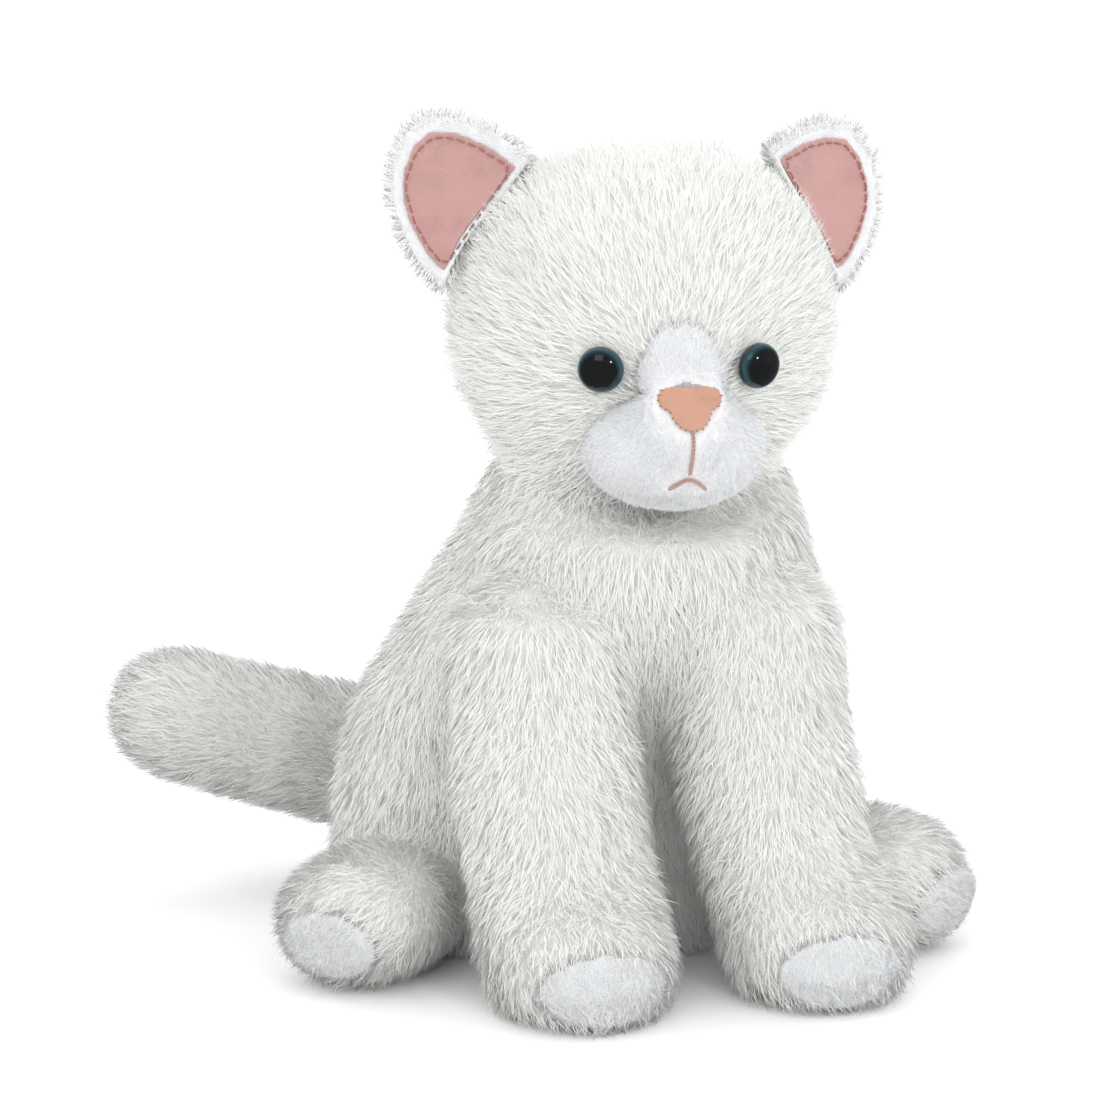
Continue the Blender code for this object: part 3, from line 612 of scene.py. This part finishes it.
def triangle_mesh(name, points, triangles):
    mesh = bpy.data.meshes.new(name)
    mesh.vertices.add(len(points))
    mesh.vertices.foreach_set("co", points.ravel())
    mesh.loops.add(triangles.size)
    mesh.loops.foreach_set("vertex_index", triangles.ravel().astype(np.int32))
    mesh.polygons.add(len(triangles))
    mesh.polygons.foreach_set("loop_start", np.arange(0, triangles.size, 3, dtype=np.int32))
    mesh.update(calc_edges=True)
    mesh.shade_smooth()
    return mesh


def set_strand_uvs(mesh, tint, triangles):
    """The layer that the pile's material reads: across for a strand's tint, up for the height along it."""
    along = np.array([*np.repeat(STRAND_LEVELS, STRAND_SIDES), 1.0])
    sideways = np.array([*np.tile(np.linspace(0, 0.02, STRAND_SIDES), len(STRAND_LEVELS)), 0.01])
    spots = np.empty((len(tint), len(along), 2))
    spots[:, :, 0] = np.clip(tint, 0, 0.98)[:, None] + sideways
    spots[:, :, 1] = along
    layer = mesh.uv_layers.new(name="OFBake")
    layer.uv.foreach_set("vector", spots.reshape(-1, 2)[triangles.ravel()].ravel().astype(np.float32))


def strand_mesh(name, roots, normals, leans, lengths, pile, random, seed):
    """A mesh of tapered, curved, three-sided strands, shaded mostly like the cloth under them."""
    count = len(roots)
    rise = unit(normals * RISE_MIX[0] + leans * RISE_MIX[1])
    fall = unit(normals * FALL_MIX[0] + leans * FALL_MIX[1])
    lengths = lengths[:, None]
    tips = roots + lengths * (rise + fall) / 2
    pull = tuft_centres(roots, pile.clump_mm * MM, seed) - roots
    pull -= normals * (pull * normals).sum(1)[:, None]
    hold = pile.clump * (TUFT_SPREAD[0] + TUFT_SPREAD[1] * random.random((count, 1)))
    across = unit(np.cross(tips - roots, normals + random.normal(0, TWIST_STRAY, roots.shape)))
    up = unit(np.cross(tips - roots, across))
    radius = pile.width / 2 * (WIDTH_SPREAD[0] + WIDTH_SPREAD[1] * random.random((count, 1)))
    places = []
    facing = []
    for share, width in zip(STRAND_LEVELS, STRAND_WIDTHS):
        bent = lengths * (rise * share + (fall - rise) * share**2 / 2)
        middle = roots + bent + pull * hold * share**1.5
        for side in range(STRAND_SIDES):
            turn = 2 * math.pi * side / STRAND_SIDES + math.pi / 2
            flat = across * math.cos(turn) + up * math.sin(turn) * STRAND_FLATNESS
            places.append(middle + flat * radius * width)
            facing.append(across * math.cos(turn) + up * math.sin(turn))
    places.append(tips + pull * hold)
    facing.append(normals)
    places = np.stack(places, axis=1)
    places[:, :, 2] = np.maximum(places[:, :, 2], FLOOR_GAP)
    firsts = np.arange(count)[:, None, None] * places.shape[1]
    triangles = (firsts + strand_faces()).reshape(-1, 3)
    mesh = triangle_mesh(name, places.reshape(-1, 3), triangles)
    waves = smooth_noise(roots, TINT_SIZE, seed + 5)[:, 0]
    tint = 0.5 + TINT_WAVE * waves + random.normal(0, TINT_STRAY, count)
    set_strand_uvs(mesh, tint, triangles)
    soft = normals + SHADING_LEAN * unit(leans + 1e-9) + random.normal(0, SHADING_STRAY, normals.shape)
    rounded = soft[:, None, :] + ROUNDING * np.stack(facing, axis=1)
    mesh.normals_split_custom_set_from_vertices(unit(rounded.reshape(-1, 3)))
    return mesh


def grow_pile(name, ground, pile, flow, look, seed, allowed, length_at=None):
    """Pile on the ground, in one or more pieces. allowed says where, and length_at how long."""
    random = np.random.default_rng(seed)
    roots, normals = scattered(ground, pile.density, random)
    kept = allowed(roots, normals)
    roots, normals = roots[kept], normals[kept]
    leans = combed(roots, normals, flow(roots, normals), pile, seed, random)
    lengths = pile.length * (LENGTH_SPREAD[0] + LENGTH_SPREAD[1] * random.random(len(roots)))
    if length_at is not None:
        lengths = lengths * length_at(roots, normals)
    order = np.argsort(roots[:, 1], kind="stable")
    parts = max(1, math.ceil(len(order) / MOST_STRANDS))
    made = []
    for i, members in enumerate(np.array_split(order, parts)):
        label = name if parts == 1 else f"{name}_{i + 1}"
        chosen = [values[members] for values in (roots, normals, leans, lengths)]
        mesh = strand_mesh(label, *chosen, pile, random, seed)
        mesh.materials.append(look)
        strands = link(bpy.data.objects.new(label, mesh))
        strands.visible_shadow = False
        made.append(strands)
    return made


# Where pile grows, and which way it lies


Cloth = namedtuple("Cloth", "obj tree points")


def as_cloth(obj):
    points = KDTree(len(obj.data.vertices))
    for vert in obj.data.vertices:
        points.insert(vert.co, vert.index)
    points.balance()
    return Cloth(obj, tree_of(obj), points)


def covered(places, others, depth=COVERED):
    """Which places lie inside one of the other cloths, deeper than this."""
    hidden = np.zeros(len(places), bool)
    for other in others:
        corners = points_of(other.obj)
        boxed = ((places > corners.min(0)) & (places < corners.max(0))).all(1)
        near = np.flatnonzero(boxed & ~hidden)
        if len(near):
            index = [other.points.find(place)[1] for place in places[near]]
            offset = places[near] - corners[index]
            rise = (offset * normals_of(other.obj)[index]).sum(1)
            below = rise < -COVERED_SLOPE * np.linalg.norm(offset, axis=1)
            hidden[near] = below & (rise < -depth)
    return hidden


def joint_point(name):
    return np.array(JOINTS[name]["pos_m"])


def grounds_of(form):
    """For each body part, the faces of the joined form that are nearest to its skin."""
    corners = corners_of(form)
    middles = points_of(form)[corners].mean(1)
    distances = []
    for part in BODY_PARTS:
        skin = tree_of(frame["nodes"][skin_and_filling(part)[0]])
        distances.append(np.abs(nearest_on(skin, middles)[2]))
    nearest = np.argmin(distances, axis=0)
    return {part: (form, corners[nearest == i]) for i, part in enumerate(BODY_PARTS)}


def thinned_below(places, normals, seed):
    """Which places keep their pile: on an underside only a share of them, because it is pressed flat."""
    under = (normals[:, 2] < UNDERSIDE_SLOPE) & (places[:, 2] < UNDERSIDE_HEIGHT)
    return ~under | (np.random.default_rng(seed).random(len(places)) < UNDERSIDE_SHARE)


def downwards(places, normals):
    return np.tile((0.0, 0.0, -1.0), (len(places), 1))


def away_from(point):
    def flow(places, normals):
        return unit(places - np.array(point))

    return flow


def along_line(direction):
    def flow(places, normals):
        return np.tile(unit(np.array([direction]))[0], (len(places), 1))

    return flow


def clear_of(others, seed, depth=COVERED):
    """Pile grows outside the other cloths, and thinly on an underside."""

    def allowed(places, normals):
        return ~covered(places, others, depth) & thinned_below(places, normals, seed)

    return allowed


# The sewn parts


def ride_all(pieces, body):
    for piece in pieces:
        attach(piece, body)


def blend_all(pieces):
    for piece in pieces:
        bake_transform(piece)


def finish_part(cloth, nodes, backing):
    """Gives a stuffed part's cloth the backing material, and hides the CAD nodes that it replaces."""
    cloth.data.materials.clear()
    cloth.data.materials.append(backing)
    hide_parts(*nodes)


def box_middle(node):
    low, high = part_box(node)
    return np.array((low + high) / 2)


def down_leg(places, normals):
    """Pile on a front leg lies down it and turns forwards over the paw."""
    low = 1 - smooth_share(places[:, 2], 14 * MM, 40 * MM)
    return np.stack([np.zeros(len(places)), -0.9 * low, low * 0.35 - 1.0], axis=1)


def make_cloths(joined):
    """The backing cloth of every sewn part, by name."""
    cloths = {"muzzle": cloth_piece("muzzle_cloth", MUZZLE_NODES, None, FACE_VOXEL, 2)}
    for part in BODY_PARTS:
        kind, *side = part.rsplit("_", 1) if part in LIMBS else [part]
        cloths[part] = cloth_piece("_".join([kind, "cloth", *side]), skin_and_filling(part), joined)
    for side in SIDES:
        for pad in ("front_toe_pad", "hind_sole_pad"):
            node = f"{pad}_{side}"
            cloths[node] = cloth_piece(f"{pad}_cloth_{side}", [node], None, FACE_VOXEL, 2)
        ear = "ear_back_" + side
        cloths["ear_" + side] = cloth_piece("ear_cloth_" + side, [ear], None, FACE_VOXEL, 3)
    raise_to_nose(cloths["muzzle"])
    return {name: as_cloth(obj) for name, obj in cloths.items()}


def raise_to_nose(obj):
    """Draws the muzzle out to the back of the nose, which is sewn to it."""
    nose = node_points("nose_applique")
    middle = nose.mean(0)
    facing = np.linalg.svd(nose - middle, full_matrices=False)[2][2]
    facing = facing * -np.sign(facing[1])
    back = ((nose - middle) @ facing).min()
    places = points_of(obj) + normals_of(obj) * MUZZLE_RISE
    height = (places - middle) @ facing
    reach = np.linalg.norm(places - middle - height[:, None] * facing, axis=1)
    share = 1 - smooth_share(reach, NOSE_SEAT, NOSE_SWELL)
    lift = np.where(height > -NOSE_SWELL, np.maximum(back - height, 0) * share, 0)
    set_points(obj, places + facing * lift[:, None])


def trims_of(cloths):
    """The cloths that lie on the body."""
    return [cloth for name, cloth in cloths.items() if name not in BODY_PARTS]


def make_torso(cloths, grounds, looks):
    cloth = cloths["torso"].obj
    allowed = clear_of(trims_of(cloths), 5)
    ground = grounds["torso"]
    piles = grow_pile("torso_pile", ground, LONG_PILE, downwards, looks["long_pile"], 11, allowed)
    nodes = [*skin_and_filling("torso"), "pellet_pouch"]
    finish_part(cloth, nodes, looks["backing"])
    ride_all([cloth, *piles], "torso")


def make_head(cloths, grounds, looks):
    cloth = cloths["head"].obj
    trims = trims_of(cloths)
    eyes = [box_middle("eye_lens_" + side) for side in SIDES]
    face = box_middle("muzzle_panel")

    def allowed(places, normals):
        kept = ~covered(places, trims)
        for eye in eyes:
            kept &= np.linalg.norm(places - eye, axis=1) >= EYE_BARE
        return kept

    def length_at(places, normals):
        length = np.ones(len(places))
        for eye in eyes:
            reach = np.linalg.norm(places - eye, axis=1)
            length *= 0.6 + 0.4 * smooth_share(reach, EYE_BARE, EYE_SHORT)
        near_muzzle = np.abs(nearest_on(cloths["muzzle"].tree, places)[2])
        return length * (0.75 + 0.25 * smooth_share(near_muzzle, 0, 7 * MM))

    look = looks["long_pile"]
    ground = grounds["head"]
    piles = grow_pile("head_pile", ground, LONG_PILE, away_from(face), look, 23, allowed, length_at)
    finish_part(cloth, skin_and_filling("head"), looks["backing"])
    ride_all([cloth, *piles], "head")


def make_muzzle(cloths, looks):
    cloth = cloths["muzzle"].obj
    nose = box_middle("nose_applique")
    nose_tree = tree_of(frame["nodes"]["nose_applique"])
    threads = np.vstack(list(mouth_paths(cloths["muzzle"]).values()))

    def gap_to_trim(places):
        to_thread = np.linalg.norm(places[:, None] - threads, axis=2).min(1)
        return np.minimum(np.abs(nearest_on(nose_tree, places)[2]), to_thread)

    def allowed(places, normals):
        return ~covered(places, [cloths["head"]]) & (gap_to_trim(places) > 1.3 * MM)

    def length_at(places, normals):
        return 0.35 + 0.65 * smooth_share(gap_to_trim(places), 1.2 * MM, 4.5 * MM)

    flow = away_from(nose + (0, 8 * MM, 0))
    look = looks["short_pile"]
    ground = (cloth, corners_of(cloth))
    piles = grow_pile("muzzle_pile", ground, SHORT_PILE, flow, look, 31, allowed, length_at)
    finish_part(cloth, MUZZLE_NODES, looks["short_backing"])
    ride_all([cloth, *piles], "head")


def make_front_leg(side, cloths, grounds, looks):
    name = "front_leg_" + side
    pad_name = "front_toe_pad_" + side
    cloth = cloths[name].obj
    allowed = clear_of(trims_of(cloths), 6)
    look = looks["long_pile"]
    piles = grow_pile(name + "_pile", grounds[name], LONG_PILE, down_leg, look, 41, allowed)
    finish_part(cloth, skin_and_filling(name), looks["backing"])
    blend_all([cloth, *piles])
    make_pad(pad_name, name, cloths, looks, along_line((0, -1.0, -0.2)), 51)


def make_pad(pad_name, body, cloths, looks, flow, seed):
    pad = cloths[pad_name].obj
    allowed = clear_of([cloths[body]], 7, 0)
    ground = (pad, corners_of(pad))
    piles = grow_pile(pad_name + "_pile", ground, SHORT_PILE, flow, looks["short_pile"], seed, allowed)
    finish_part(pad, [pad_name], looks["short_backing"])
    ride_all([pad, *piles], body)


def make_hind_leg(side, cloths, grounds, looks):
    name = "hind_leg_" + side
    cloth = cloths[name].obj
    allowed = clear_of(trims_of(cloths), 8)
    hip = joint_point("hind_leg_swing_" + side)
    toe = box_middle("hind_sole_pad_" + side)
    ahead = unit(np.array([(toe - hip) * (1, 1, 0)]))[0]
    flow = along_line(ahead - (0, 0, 0.35))
    look = looks["long_pile"]
    piles = grow_pile(name + "_pile", grounds[name], LONG_PILE, flow, look, 61, allowed)
    finish_part(cloth, skin_and_filling(name), looks["backing"])
    blend_all([cloth, *piles])
    make_pad("hind_sole_pad_" + side, name, cloths, looks, along_line(ahead), 71)


def make_tail(cloths, grounds, looks):
    cloth = cloths["tail"].obj
    root = joint_point("tail_swing")
    tip = np.array((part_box("tail_skin")[0].x, root[1] + TAIL_BEND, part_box("tail_skin")[1].z))

    def flow(places, normals):
        out = smooth_share(root[0] - places[:, 0], 0, 30 * MM)[:, None]
        return unit((1 - out) * (0.0, 1.0, 0.0) + out * unit(np.array([tip - root]) * (1, 0.1, 1)))

    def allowed(places, normals):
        return np.ones(len(places), bool)

    piles = grow_pile("tail_pile", grounds["tail"], LONG_PILE, flow, looks["tail_pile"], 81, allowed)
    finish_part(cloth, skin_and_filling("tail"), looks["backing"])
    blend_all([cloth, *piles])


def make_ear(side, cloths, looks):
    name = "ear_" + side
    cloth = cloths[name].obj
    lining = tree_of(frame["nodes"]["ear_lining_" + side])
    middle = box_middle("ear_lining_" + side)

    def allowed(places, normals):
        gap = np.abs(nearest_on(lining, places)[2])
        return ~covered(places, [cloths["head"]]) & (gap > LINING_CLEAR)

    ground = (cloth, corners_of(cloth))
    piles = grow_pile(name + "_pile", ground, EAR_PILE, away_from(middle), looks["long_pile"], 91, allowed)
    finish_part(cloth, ["ear_back_" + side], looks["short_backing"])
    ride_all([cloth, *piles], name)


# Trim


def node_points(*names):
    """The corners of CAD nodes, each once."""
    shape = node_copy(names)
    places = np.array([vert.co[:] for vert in shape.verts])
    shape.free()
    return places


def loop_path(places, count):
    """The middle line of a thin loop, as count points in order round it."""
    centre = places.mean(0)
    across, up, _ = np.linalg.svd(places - centre, full_matrices=False)[2]
    around = np.arctan2((places - centre) @ up, (places - centre) @ across)
    order = np.argsort(around)
    around, places = around[order], places[order]
    groups = np.array_split(np.arange(len(places)), LOOP_GROUPS)
    turns = np.array([around[group].mean() for group in groups])
    middles = np.array([places[group].mean(0) for group in groups])
    wanted = np.linspace(-np.pi, np.pi, count, endpoint=False)
    columns = [np.interp(wanted, turns, middles[:, axis], period=2 * np.pi) for axis in range(3)]
    return np.stack(columns, axis=1)


def line_path(places, axis, count):
    """The middle line of a thin thread that always goes on along one axis."""
    order = np.argsort(places[:, axis])
    middles = np.array([places[group].mean(0) for group in np.array_split(order, LINE_GROUPS)])
    ends = places[order[[0, -1]]]
    middles[0, axis], middles[-1, axis] = ends[0, axis], ends[1, axis]
    wanted = np.linspace(middles[0, axis], middles[-1, axis], count)
    return np.stack([np.interp(wanted, middles[:, axis], middles[:, other]) for other in range(3)], axis=1)


def evenly_spaced(path, step, closed):
    """Points at equal steps along a path."""
    if closed:
        path = np.vstack([path, path[:1]])
    along = np.concatenate([[0], np.cumsum(np.linalg.norm(np.diff(path, axis=0), axis=1))])
    count = max(2, round(along[-1] / step) + (not closed))
    wanted = np.linspace(0, along[-1], count, endpoint=not closed)
    return np.stack([np.interp(wanted, along, path[:, axis]) for axis in range(3)], axis=1)


def frames_along(path):
    """At each point of a path, two directions square to it and to each other."""
    ahead = unit(np.gradient(path, axis=0))
    side = unit(np.cross(ahead, np.array([SIDEWAYS])))
    return side, np.cross(ahead, side)


def bridge(shape, rows, gaps):
    """Adds faces between each row of corners and the next, across this many gaps along them."""
    for low, high in zip(rows, rows[1:]):
        for i in range(gaps):
            j = (i + 1) % len(low)
            corners = dict.fromkeys((low[i], low[j], high[j], high[i]))
            shape.faces.new(tuple(corners))


def tube(shape, path, radii, sides=8):
    """Adds a round tube along a path, with closed ends."""
    side, up = frames_along(path)
    turns = [2 * math.pi * i / sides for i in range(sides)]
    rings = []
    for place, across, rise, radius in zip(path, side, up, radii):
        spokes = [across * math.cos(a) + rise * math.sin(a) for a in turns]
        rings.append([shape.verts.new(place + spoke * radius) for spoke in spokes])
    bridge(shape, rings, sides)
    shape.faces.new(rings[0][::-1])
    shape.faces.new(rings[-1])


def mesh_object(name, shape, look):
    bmesh.ops.recalc_face_normals(shape, faces=shape.faces)
    data = bpy.data.meshes.new(name)
    shape.to_mesh(data)
    shape.free()
    data.shade_smooth()
    data.materials.append(look)
    return link(bpy.data.objects.new(name, data))


def stitch(shape, start, end, lift, radius):
    """Adds one stitch: a thread that rises from the cloth, lies on it and goes down again."""
    shares = np.linspace(0, 1, STITCH_POINTS)[:, None]
    hump = np.sin(np.pi * shares) ** 0.5
    path = start + (end - start) * shares + lift * (hump - 1)
    tube(shape, path, radius * (0.55 + 0.45 * hump[:, 0]))


def plied(shape, path, radius, lay):
    """Adds a two-ply thread along a path: two strands wound round each other."""
    path = evenly_spaced(path, lay / PLY_POINTS, closed=False)
    side, up = frames_along(path)
    turns = 2 * np.pi * np.arange(len(path)) / PLY_POINTS
    for start in (0, np.pi):
        round_it = side * np.cos(turns + start)[:, None] + up * np.sin(turns + start)[:, None]
        tube(shape, path + round_it * radius * PLY_OFFSET, np.full(len(path), radius * PLY_RADIUS), 6)


def eye_profile(radius, rise):
    """Half the outline of an eye, as distances out from its axis and along it."""
    profile = [(0.0, -EYE_EDGE), (radius * 0.94, -EYE_EDGE), (radius, -EYE_EDGE * 0.6), (radius, 0.0)]
    for step in range(1, EYE_LEVELS + 1):
        angle = math.pi / 2 * step / EYE_LEVELS
        profile.append((radius * math.cos(angle), rise * math.sin(angle)))
    return profile


def make_eye(side, looks):
    """A glossy safety eye: a domed button, dark in the middle and teal at its rim."""
    lens = node_points("eye_lens_" + side)
    core = node_points("eye_core_" + side)
    axis = unit(np.array([lens.mean(0) - core.mean(0)]))[0]
    along = (lens - core.mean(0)) @ axis
    middle = core.mean(0) + axis * along.min()
    radius = np.linalg.norm(lens - core.mean(0) - along[:, None] * axis, axis=1).max()
    rise = along.max() - along.min()
    across, up = plane_of(axis)
    shape = bmesh.new()
    turns = [2 * math.pi * i / EYE_SEGMENTS for i in range(EYE_SEGMENTS)]
    rings = []
    for reach, height in eye_profile(radius, rise):
        if reach < WELD:
            rings.append([shape.verts.new(middle + axis * height)] * EYE_SEGMENTS)
            continue
        spokes = [across * math.cos(a) + up * math.sin(a) for a in turns]
        rings.append([shape.verts.new(middle + axis * height + spoke * reach) for spoke in spokes])
    bridge(shape, rings, EYE_SEGMENTS)
    radial = shape.loops.layers.uv.new("OFBake")
    for face in shape.faces:
        for loop in face.loops:
            offset = np.array(loop.vert.co) - middle
            flat = offset - axis * (offset @ axis)
            loop[radial].uv = (0.5 + 0.45 * flat @ across / radius, 0.5 + 0.45 * flat @ up / radius)
    eye = mesh_object("eye_" + side, shape, looks["eye"])
    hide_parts("eye_core_" + side, "eye_lens_" + side)
    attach(eye, "head")


def make_nose(looks):
    """A felt nose with a rounded edge. Its middle and the way it faces place the stitches round it."""
    nose = remeshed("nose", node_copy(["nose_applique"]), NOSE_VOXEL, 6)
    places = points_of(nose)
    middle = places.mean(0)
    _, _, facing = np.linalg.svd(places - middle, full_matrices=False)[2]
    facing = facing * -np.sign(facing[1])
    flat = places - middle - ((places - middle) @ facing)[:, None] * facing
    reach = np.linalg.norm(flat, axis=1)
    crown = (1 - (reach / reach.max()) ** 2) * NOSE_CROWN
    grain = smooth_noise(places, 0.9 * MM, 17)[:, 0] * NOSE_GRAIN
    front = smooth_share((places - middle) @ facing, -NOSE_CROWN, NOSE_CROWN)
    set_points(nose, places + facing * ((crown + grain) * front)[:, None])
    nose.data.materials.append(looks["felt"])
    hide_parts("nose_applique")
    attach(nose, "head")
    make_nose_stitches(middle, facing, looks)


def make_nose_stitches(middle, facing, looks):
    """Overcast stitches round the nose's edge."""
    outline = node_points("nose_applique")
    height = (outline - middle) @ facing
    edge = outline[height > 0]
    across, up = plane_of(facing)
    edge = edge[np.argsort(np.arctan2((edge - middle) @ across, (edge - middle) @ up))]
    shape = bmesh.new()
    for place in evenly_spaced(edge, NOSE_STITCH_STEP, closed=True):
        inwards = unit(np.array([middle - place]))[0]
        start = place - inwards * NOSE_STITCH_OUT - facing * NOSE_STITCH_DOWN
        end = place + inwards * NOSE_STITCH_IN + facing * NOSE_STITCH_UP
        stitch(shape, start, end, facing * NOSE_STITCH_LIFT, NOSE_STITCH_RADIUS)
    stitches = mesh_object("nose_edge_stitches", shape, looks["edge_thread"])
    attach(stitches, "head")


def plane_of(facing):
    across = unit(np.cross(facing, [[0.0, 0.0, 1.0]]))[0]
    return across, np.cross(across, facing)


def mouth_paths(muzzle):
    """The middle line of each mouth thread, laid on the muzzle's cloth."""
    paths = {}
    for node, axis in MOUTH_NODES:
        path = line_path(node_points(node), axis, MOUTH_POINTS)
        spots, normals, _ = nearest_on(muzzle.tree, path)
        paths[node] = spots + normals * MOUTH_LIFT
    return paths


def make_mouth(cloths, looks):
    for node, path in mouth_paths(cloths["muzzle"]).items():
        shape = bmesh.new()
        plied(shape, path, MOUTH_THREAD, MOUTH_LAY)
        line = mesh_object(node.replace("_stitch", "_thread"), shape, looks["nose_thread"])
        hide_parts(node)
        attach(line, "head")


def make_lining(side, looks):
    """The ear's velour lining, with the soft puckers of sewn cloth."""
    lining = remeshed("ear_velour_" + side, node_copy(["ear_lining_" + side]), LINING_VOXEL, 3)
    places = points_of(lining)
    puckers = sum(smooth_noise(places, size, seed)[:, 0] * height for size, seed, height in PUCKERS)
    set_points(lining, places + normals_of(lining) * puckers[:, None])
    lining.data.materials.append(looks["velour"])
    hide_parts("ear_lining_" + side)
    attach(lining, "ear_" + side)


def make_topstitch(side, looks):
    """The row of stitches inside the edge of the ear's lining."""
    path = loop_path(node_points("ear_topstitch_" + side), LINING_POINTS)
    ear = box_middle("ear_back_" + side)
    facing = np.linalg.svd(path - path.mean(0), full_matrices=False)[2][2]
    facing = facing * np.sign((path.mean(0) - ear) @ facing)
    shape = bmesh.new()
    points = evenly_spaced(path, TOPSTITCH_STEP, closed=True)
    for start, end in zip(points, np.roll(points, -1, axis=0)):
        stop = start + (end - start) * TOPSTITCH_SHARE
        stitch(shape, start, stop, facing * TOPSTITCH_LIFT, TOPSTITCH_RADIUS)
    stitches = mesh_object("ear_stitches_" + side, shape, looks["ear_thread"])
    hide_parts("ear_topstitch_" + side)
    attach(stitches, "ear_" + side)


def make_label(looks):
    """A blank satin label, folded over at its outer end."""
    corners = node_points("care_label")
    middle = corners.mean(0)
    across, up, thin = np.linalg.svd(corners - middle, full_matrices=False)[2]
    length = 2 * np.abs((corners - middle) @ up).max()
    width = 2 * np.abs((corners - middle) @ across).max()
    if abs(across[2]) < abs(up[2]):
        across, up, length, width = up, across, width, length
    root = joint_point("tail_swing") * (1, 0, 0)
    up = up * np.sign((middle - root) @ up)
    half = LABEL_GAP / 2
    profile = [(-length / 2 + length * i / LABEL_STEPS, -half) for i in range(LABEL_STEPS)]
    turns = np.linspace(0, math.pi, LABEL_FOLD_STEPS)
    profile += [(length / 2 - half + half * math.sin(a), -half * math.cos(a)) for a in turns]
    profile += [(reach, half) for reach, _ in profile[LABEL_STEPS - 1 :: -1]]
    shape = bmesh.new()
    rows = []
    for reach, depth in profile:
        sag = LABEL_CURL * ((reach / length + 0.5) ** 2)
        row = []
        for i in range(LABEL_ACROSS + 1):
            share = i / LABEL_ACROSS - 0.5
            height = depth + sag * math.cos(LABEL_WAVE * share)
            row.append(shape.verts.new(middle + up * reach + across * width * share + thin * height))
        rows.append(row)
    bridge(shape, rows, LABEL_ACROSS)
    label = mesh_object("label", shape, looks["satin"])
    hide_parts("care_label")
    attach(label, "torso")


def dress_hidden(looks):
    """Better materials on the small CAD parts that keep their shapes."""
    kept = {seam + "_seam_thread": "white_thread" for seam in ("closing", "neck", "tail")}
    kept |= {"eye_washer_" + side: "washer" for side in SIDES}
    for node, look in kept.items():
        for part_slot in frame["nodes"][node].material_slots:
            part_slot.material = looks[look]


# Stage


def make_floor():
    mesh = bpy.data.meshes.new("floor")
    half = FLOOR_SIZE / 2
    corners = [(-half, -half, 0), (half, -half, 0), (half, half, 0), (-half, half, 0)]
    mesh.from_pydata(corners, [], [(0, 1, 2, 3)])
    made, _, shader = new_material("pale_floor")
    set_inputs(shader, {"Base Color": (*FLOOR_COLOUR, 1), "Roughness": 0.9})
    mesh.materials.append(made)
    floor = link(bpy.data.objects.new("floor", mesh))
    floor.visible_glossy = False


def make_light(name, place, size, power, target):
    data = bpy.data.lights.new(name, "AREA")
    data.size = size
    data.energy = power
    light = link(bpy.data.objects.new(name, data))
    light.location = place
    light.rotation_euler = (target - Vector(place)).to_track_quat("-Z", "Y").to_euler()


def make_world():
    """White all round, but dimmer where the eyes mirror it."""
    world = bpy.data.worlds.new("studio")
    world.use_nodes = True
    tree = world.node_tree
    background = tree.nodes["Background"]
    white = {"Color": (1, 1, 1, 1)}
    set_inputs(background, white | {"Strength": WORLD_STRENGTH})
    seen = add_node(tree, "ShaderNodeBackground", white | {"Strength": SEEN_STRENGTH})
    mirrored = add_node(tree, "ShaderNodeBackground", white | {"Strength": MIRRORED_STRENGTH})
    path = add_node(tree, "ShaderNodeLightPath")
    result = background.outputs["Background"]
    for ray, other in (("Is Glossy Ray", mirrored), ("Is Camera Ray", seen)):
        both = add_node(tree, "ShaderNodeMixShader")
        wire(tree, path.outputs[ray], both, "Fac")
        wire(tree, result, both, 1)
        wire(tree, other.outputs["Background"], both, 2)
        result = both.outputs["Shader"]
    wire(tree, result, tree.nodes["World Output"], "Surface")
    bpy.context.scene.world = world


def make_studio():
    make_world()
    for name, place, size, power in LIGHTS:
        make_light(name, place, size, power, (cad_low + cad_high) / 2)
    bpy.context.scene.view_settings.view_transform = "Standard"


def make_camera():
    """A long lens, low and a little to the cat's right."""
    azimuth = math.radians(CAMERA_AZIMUTH)
    elevation = math.radians(CAMERA_ELEVATION)
    level = math.cos(elevation)
    back = Vector((math.sin(azimuth) * level, -math.cos(azimuth) * level, math.sin(elevation)))
    data = bpy.data.cameras.new("camera")
    data.lens = CAMERA_LENS
    data.sensor_width = CAMERA_SENSOR
    data.clip_start = 0.05
    camera = link(bpy.data.objects.new("camera", data))
    camera.location = Vector(CAMERA_TARGET) + back * CAMERA_DISTANCE
    camera.rotation_euler = back.to_track_quat("Z", "Y").to_euler()
    bpy.context.scene.camera = camera


def main():
    make_camera()
    make_studio()
    make_floor()
    looks = make_looks()
    form = joined_form()
    joined = tree_of(form)
    cloths = make_cloths(joined)
    grounds = grounds_of(form)
    make_torso(cloths, grounds, looks)
    make_head(cloths, grounds, looks)
    make_muzzle(cloths, looks)
    make_nose(looks)
    make_mouth(cloths, looks)
    make_label(looks)
    dress_hidden(looks)
    make_tail(cloths, grounds, looks)
    for side in SIDES:
        make_front_leg(side, cloths, grounds, looks)
        make_hind_leg(side, cloths, grounds, looks)
        make_ear(side, cloths, looks)
        make_lining(side, looks)
        make_topstitch(side, looks)
        make_eye(side, looks)
    bpy.data.objects.remove(form)


main()
bpy.context.view_layer.update()
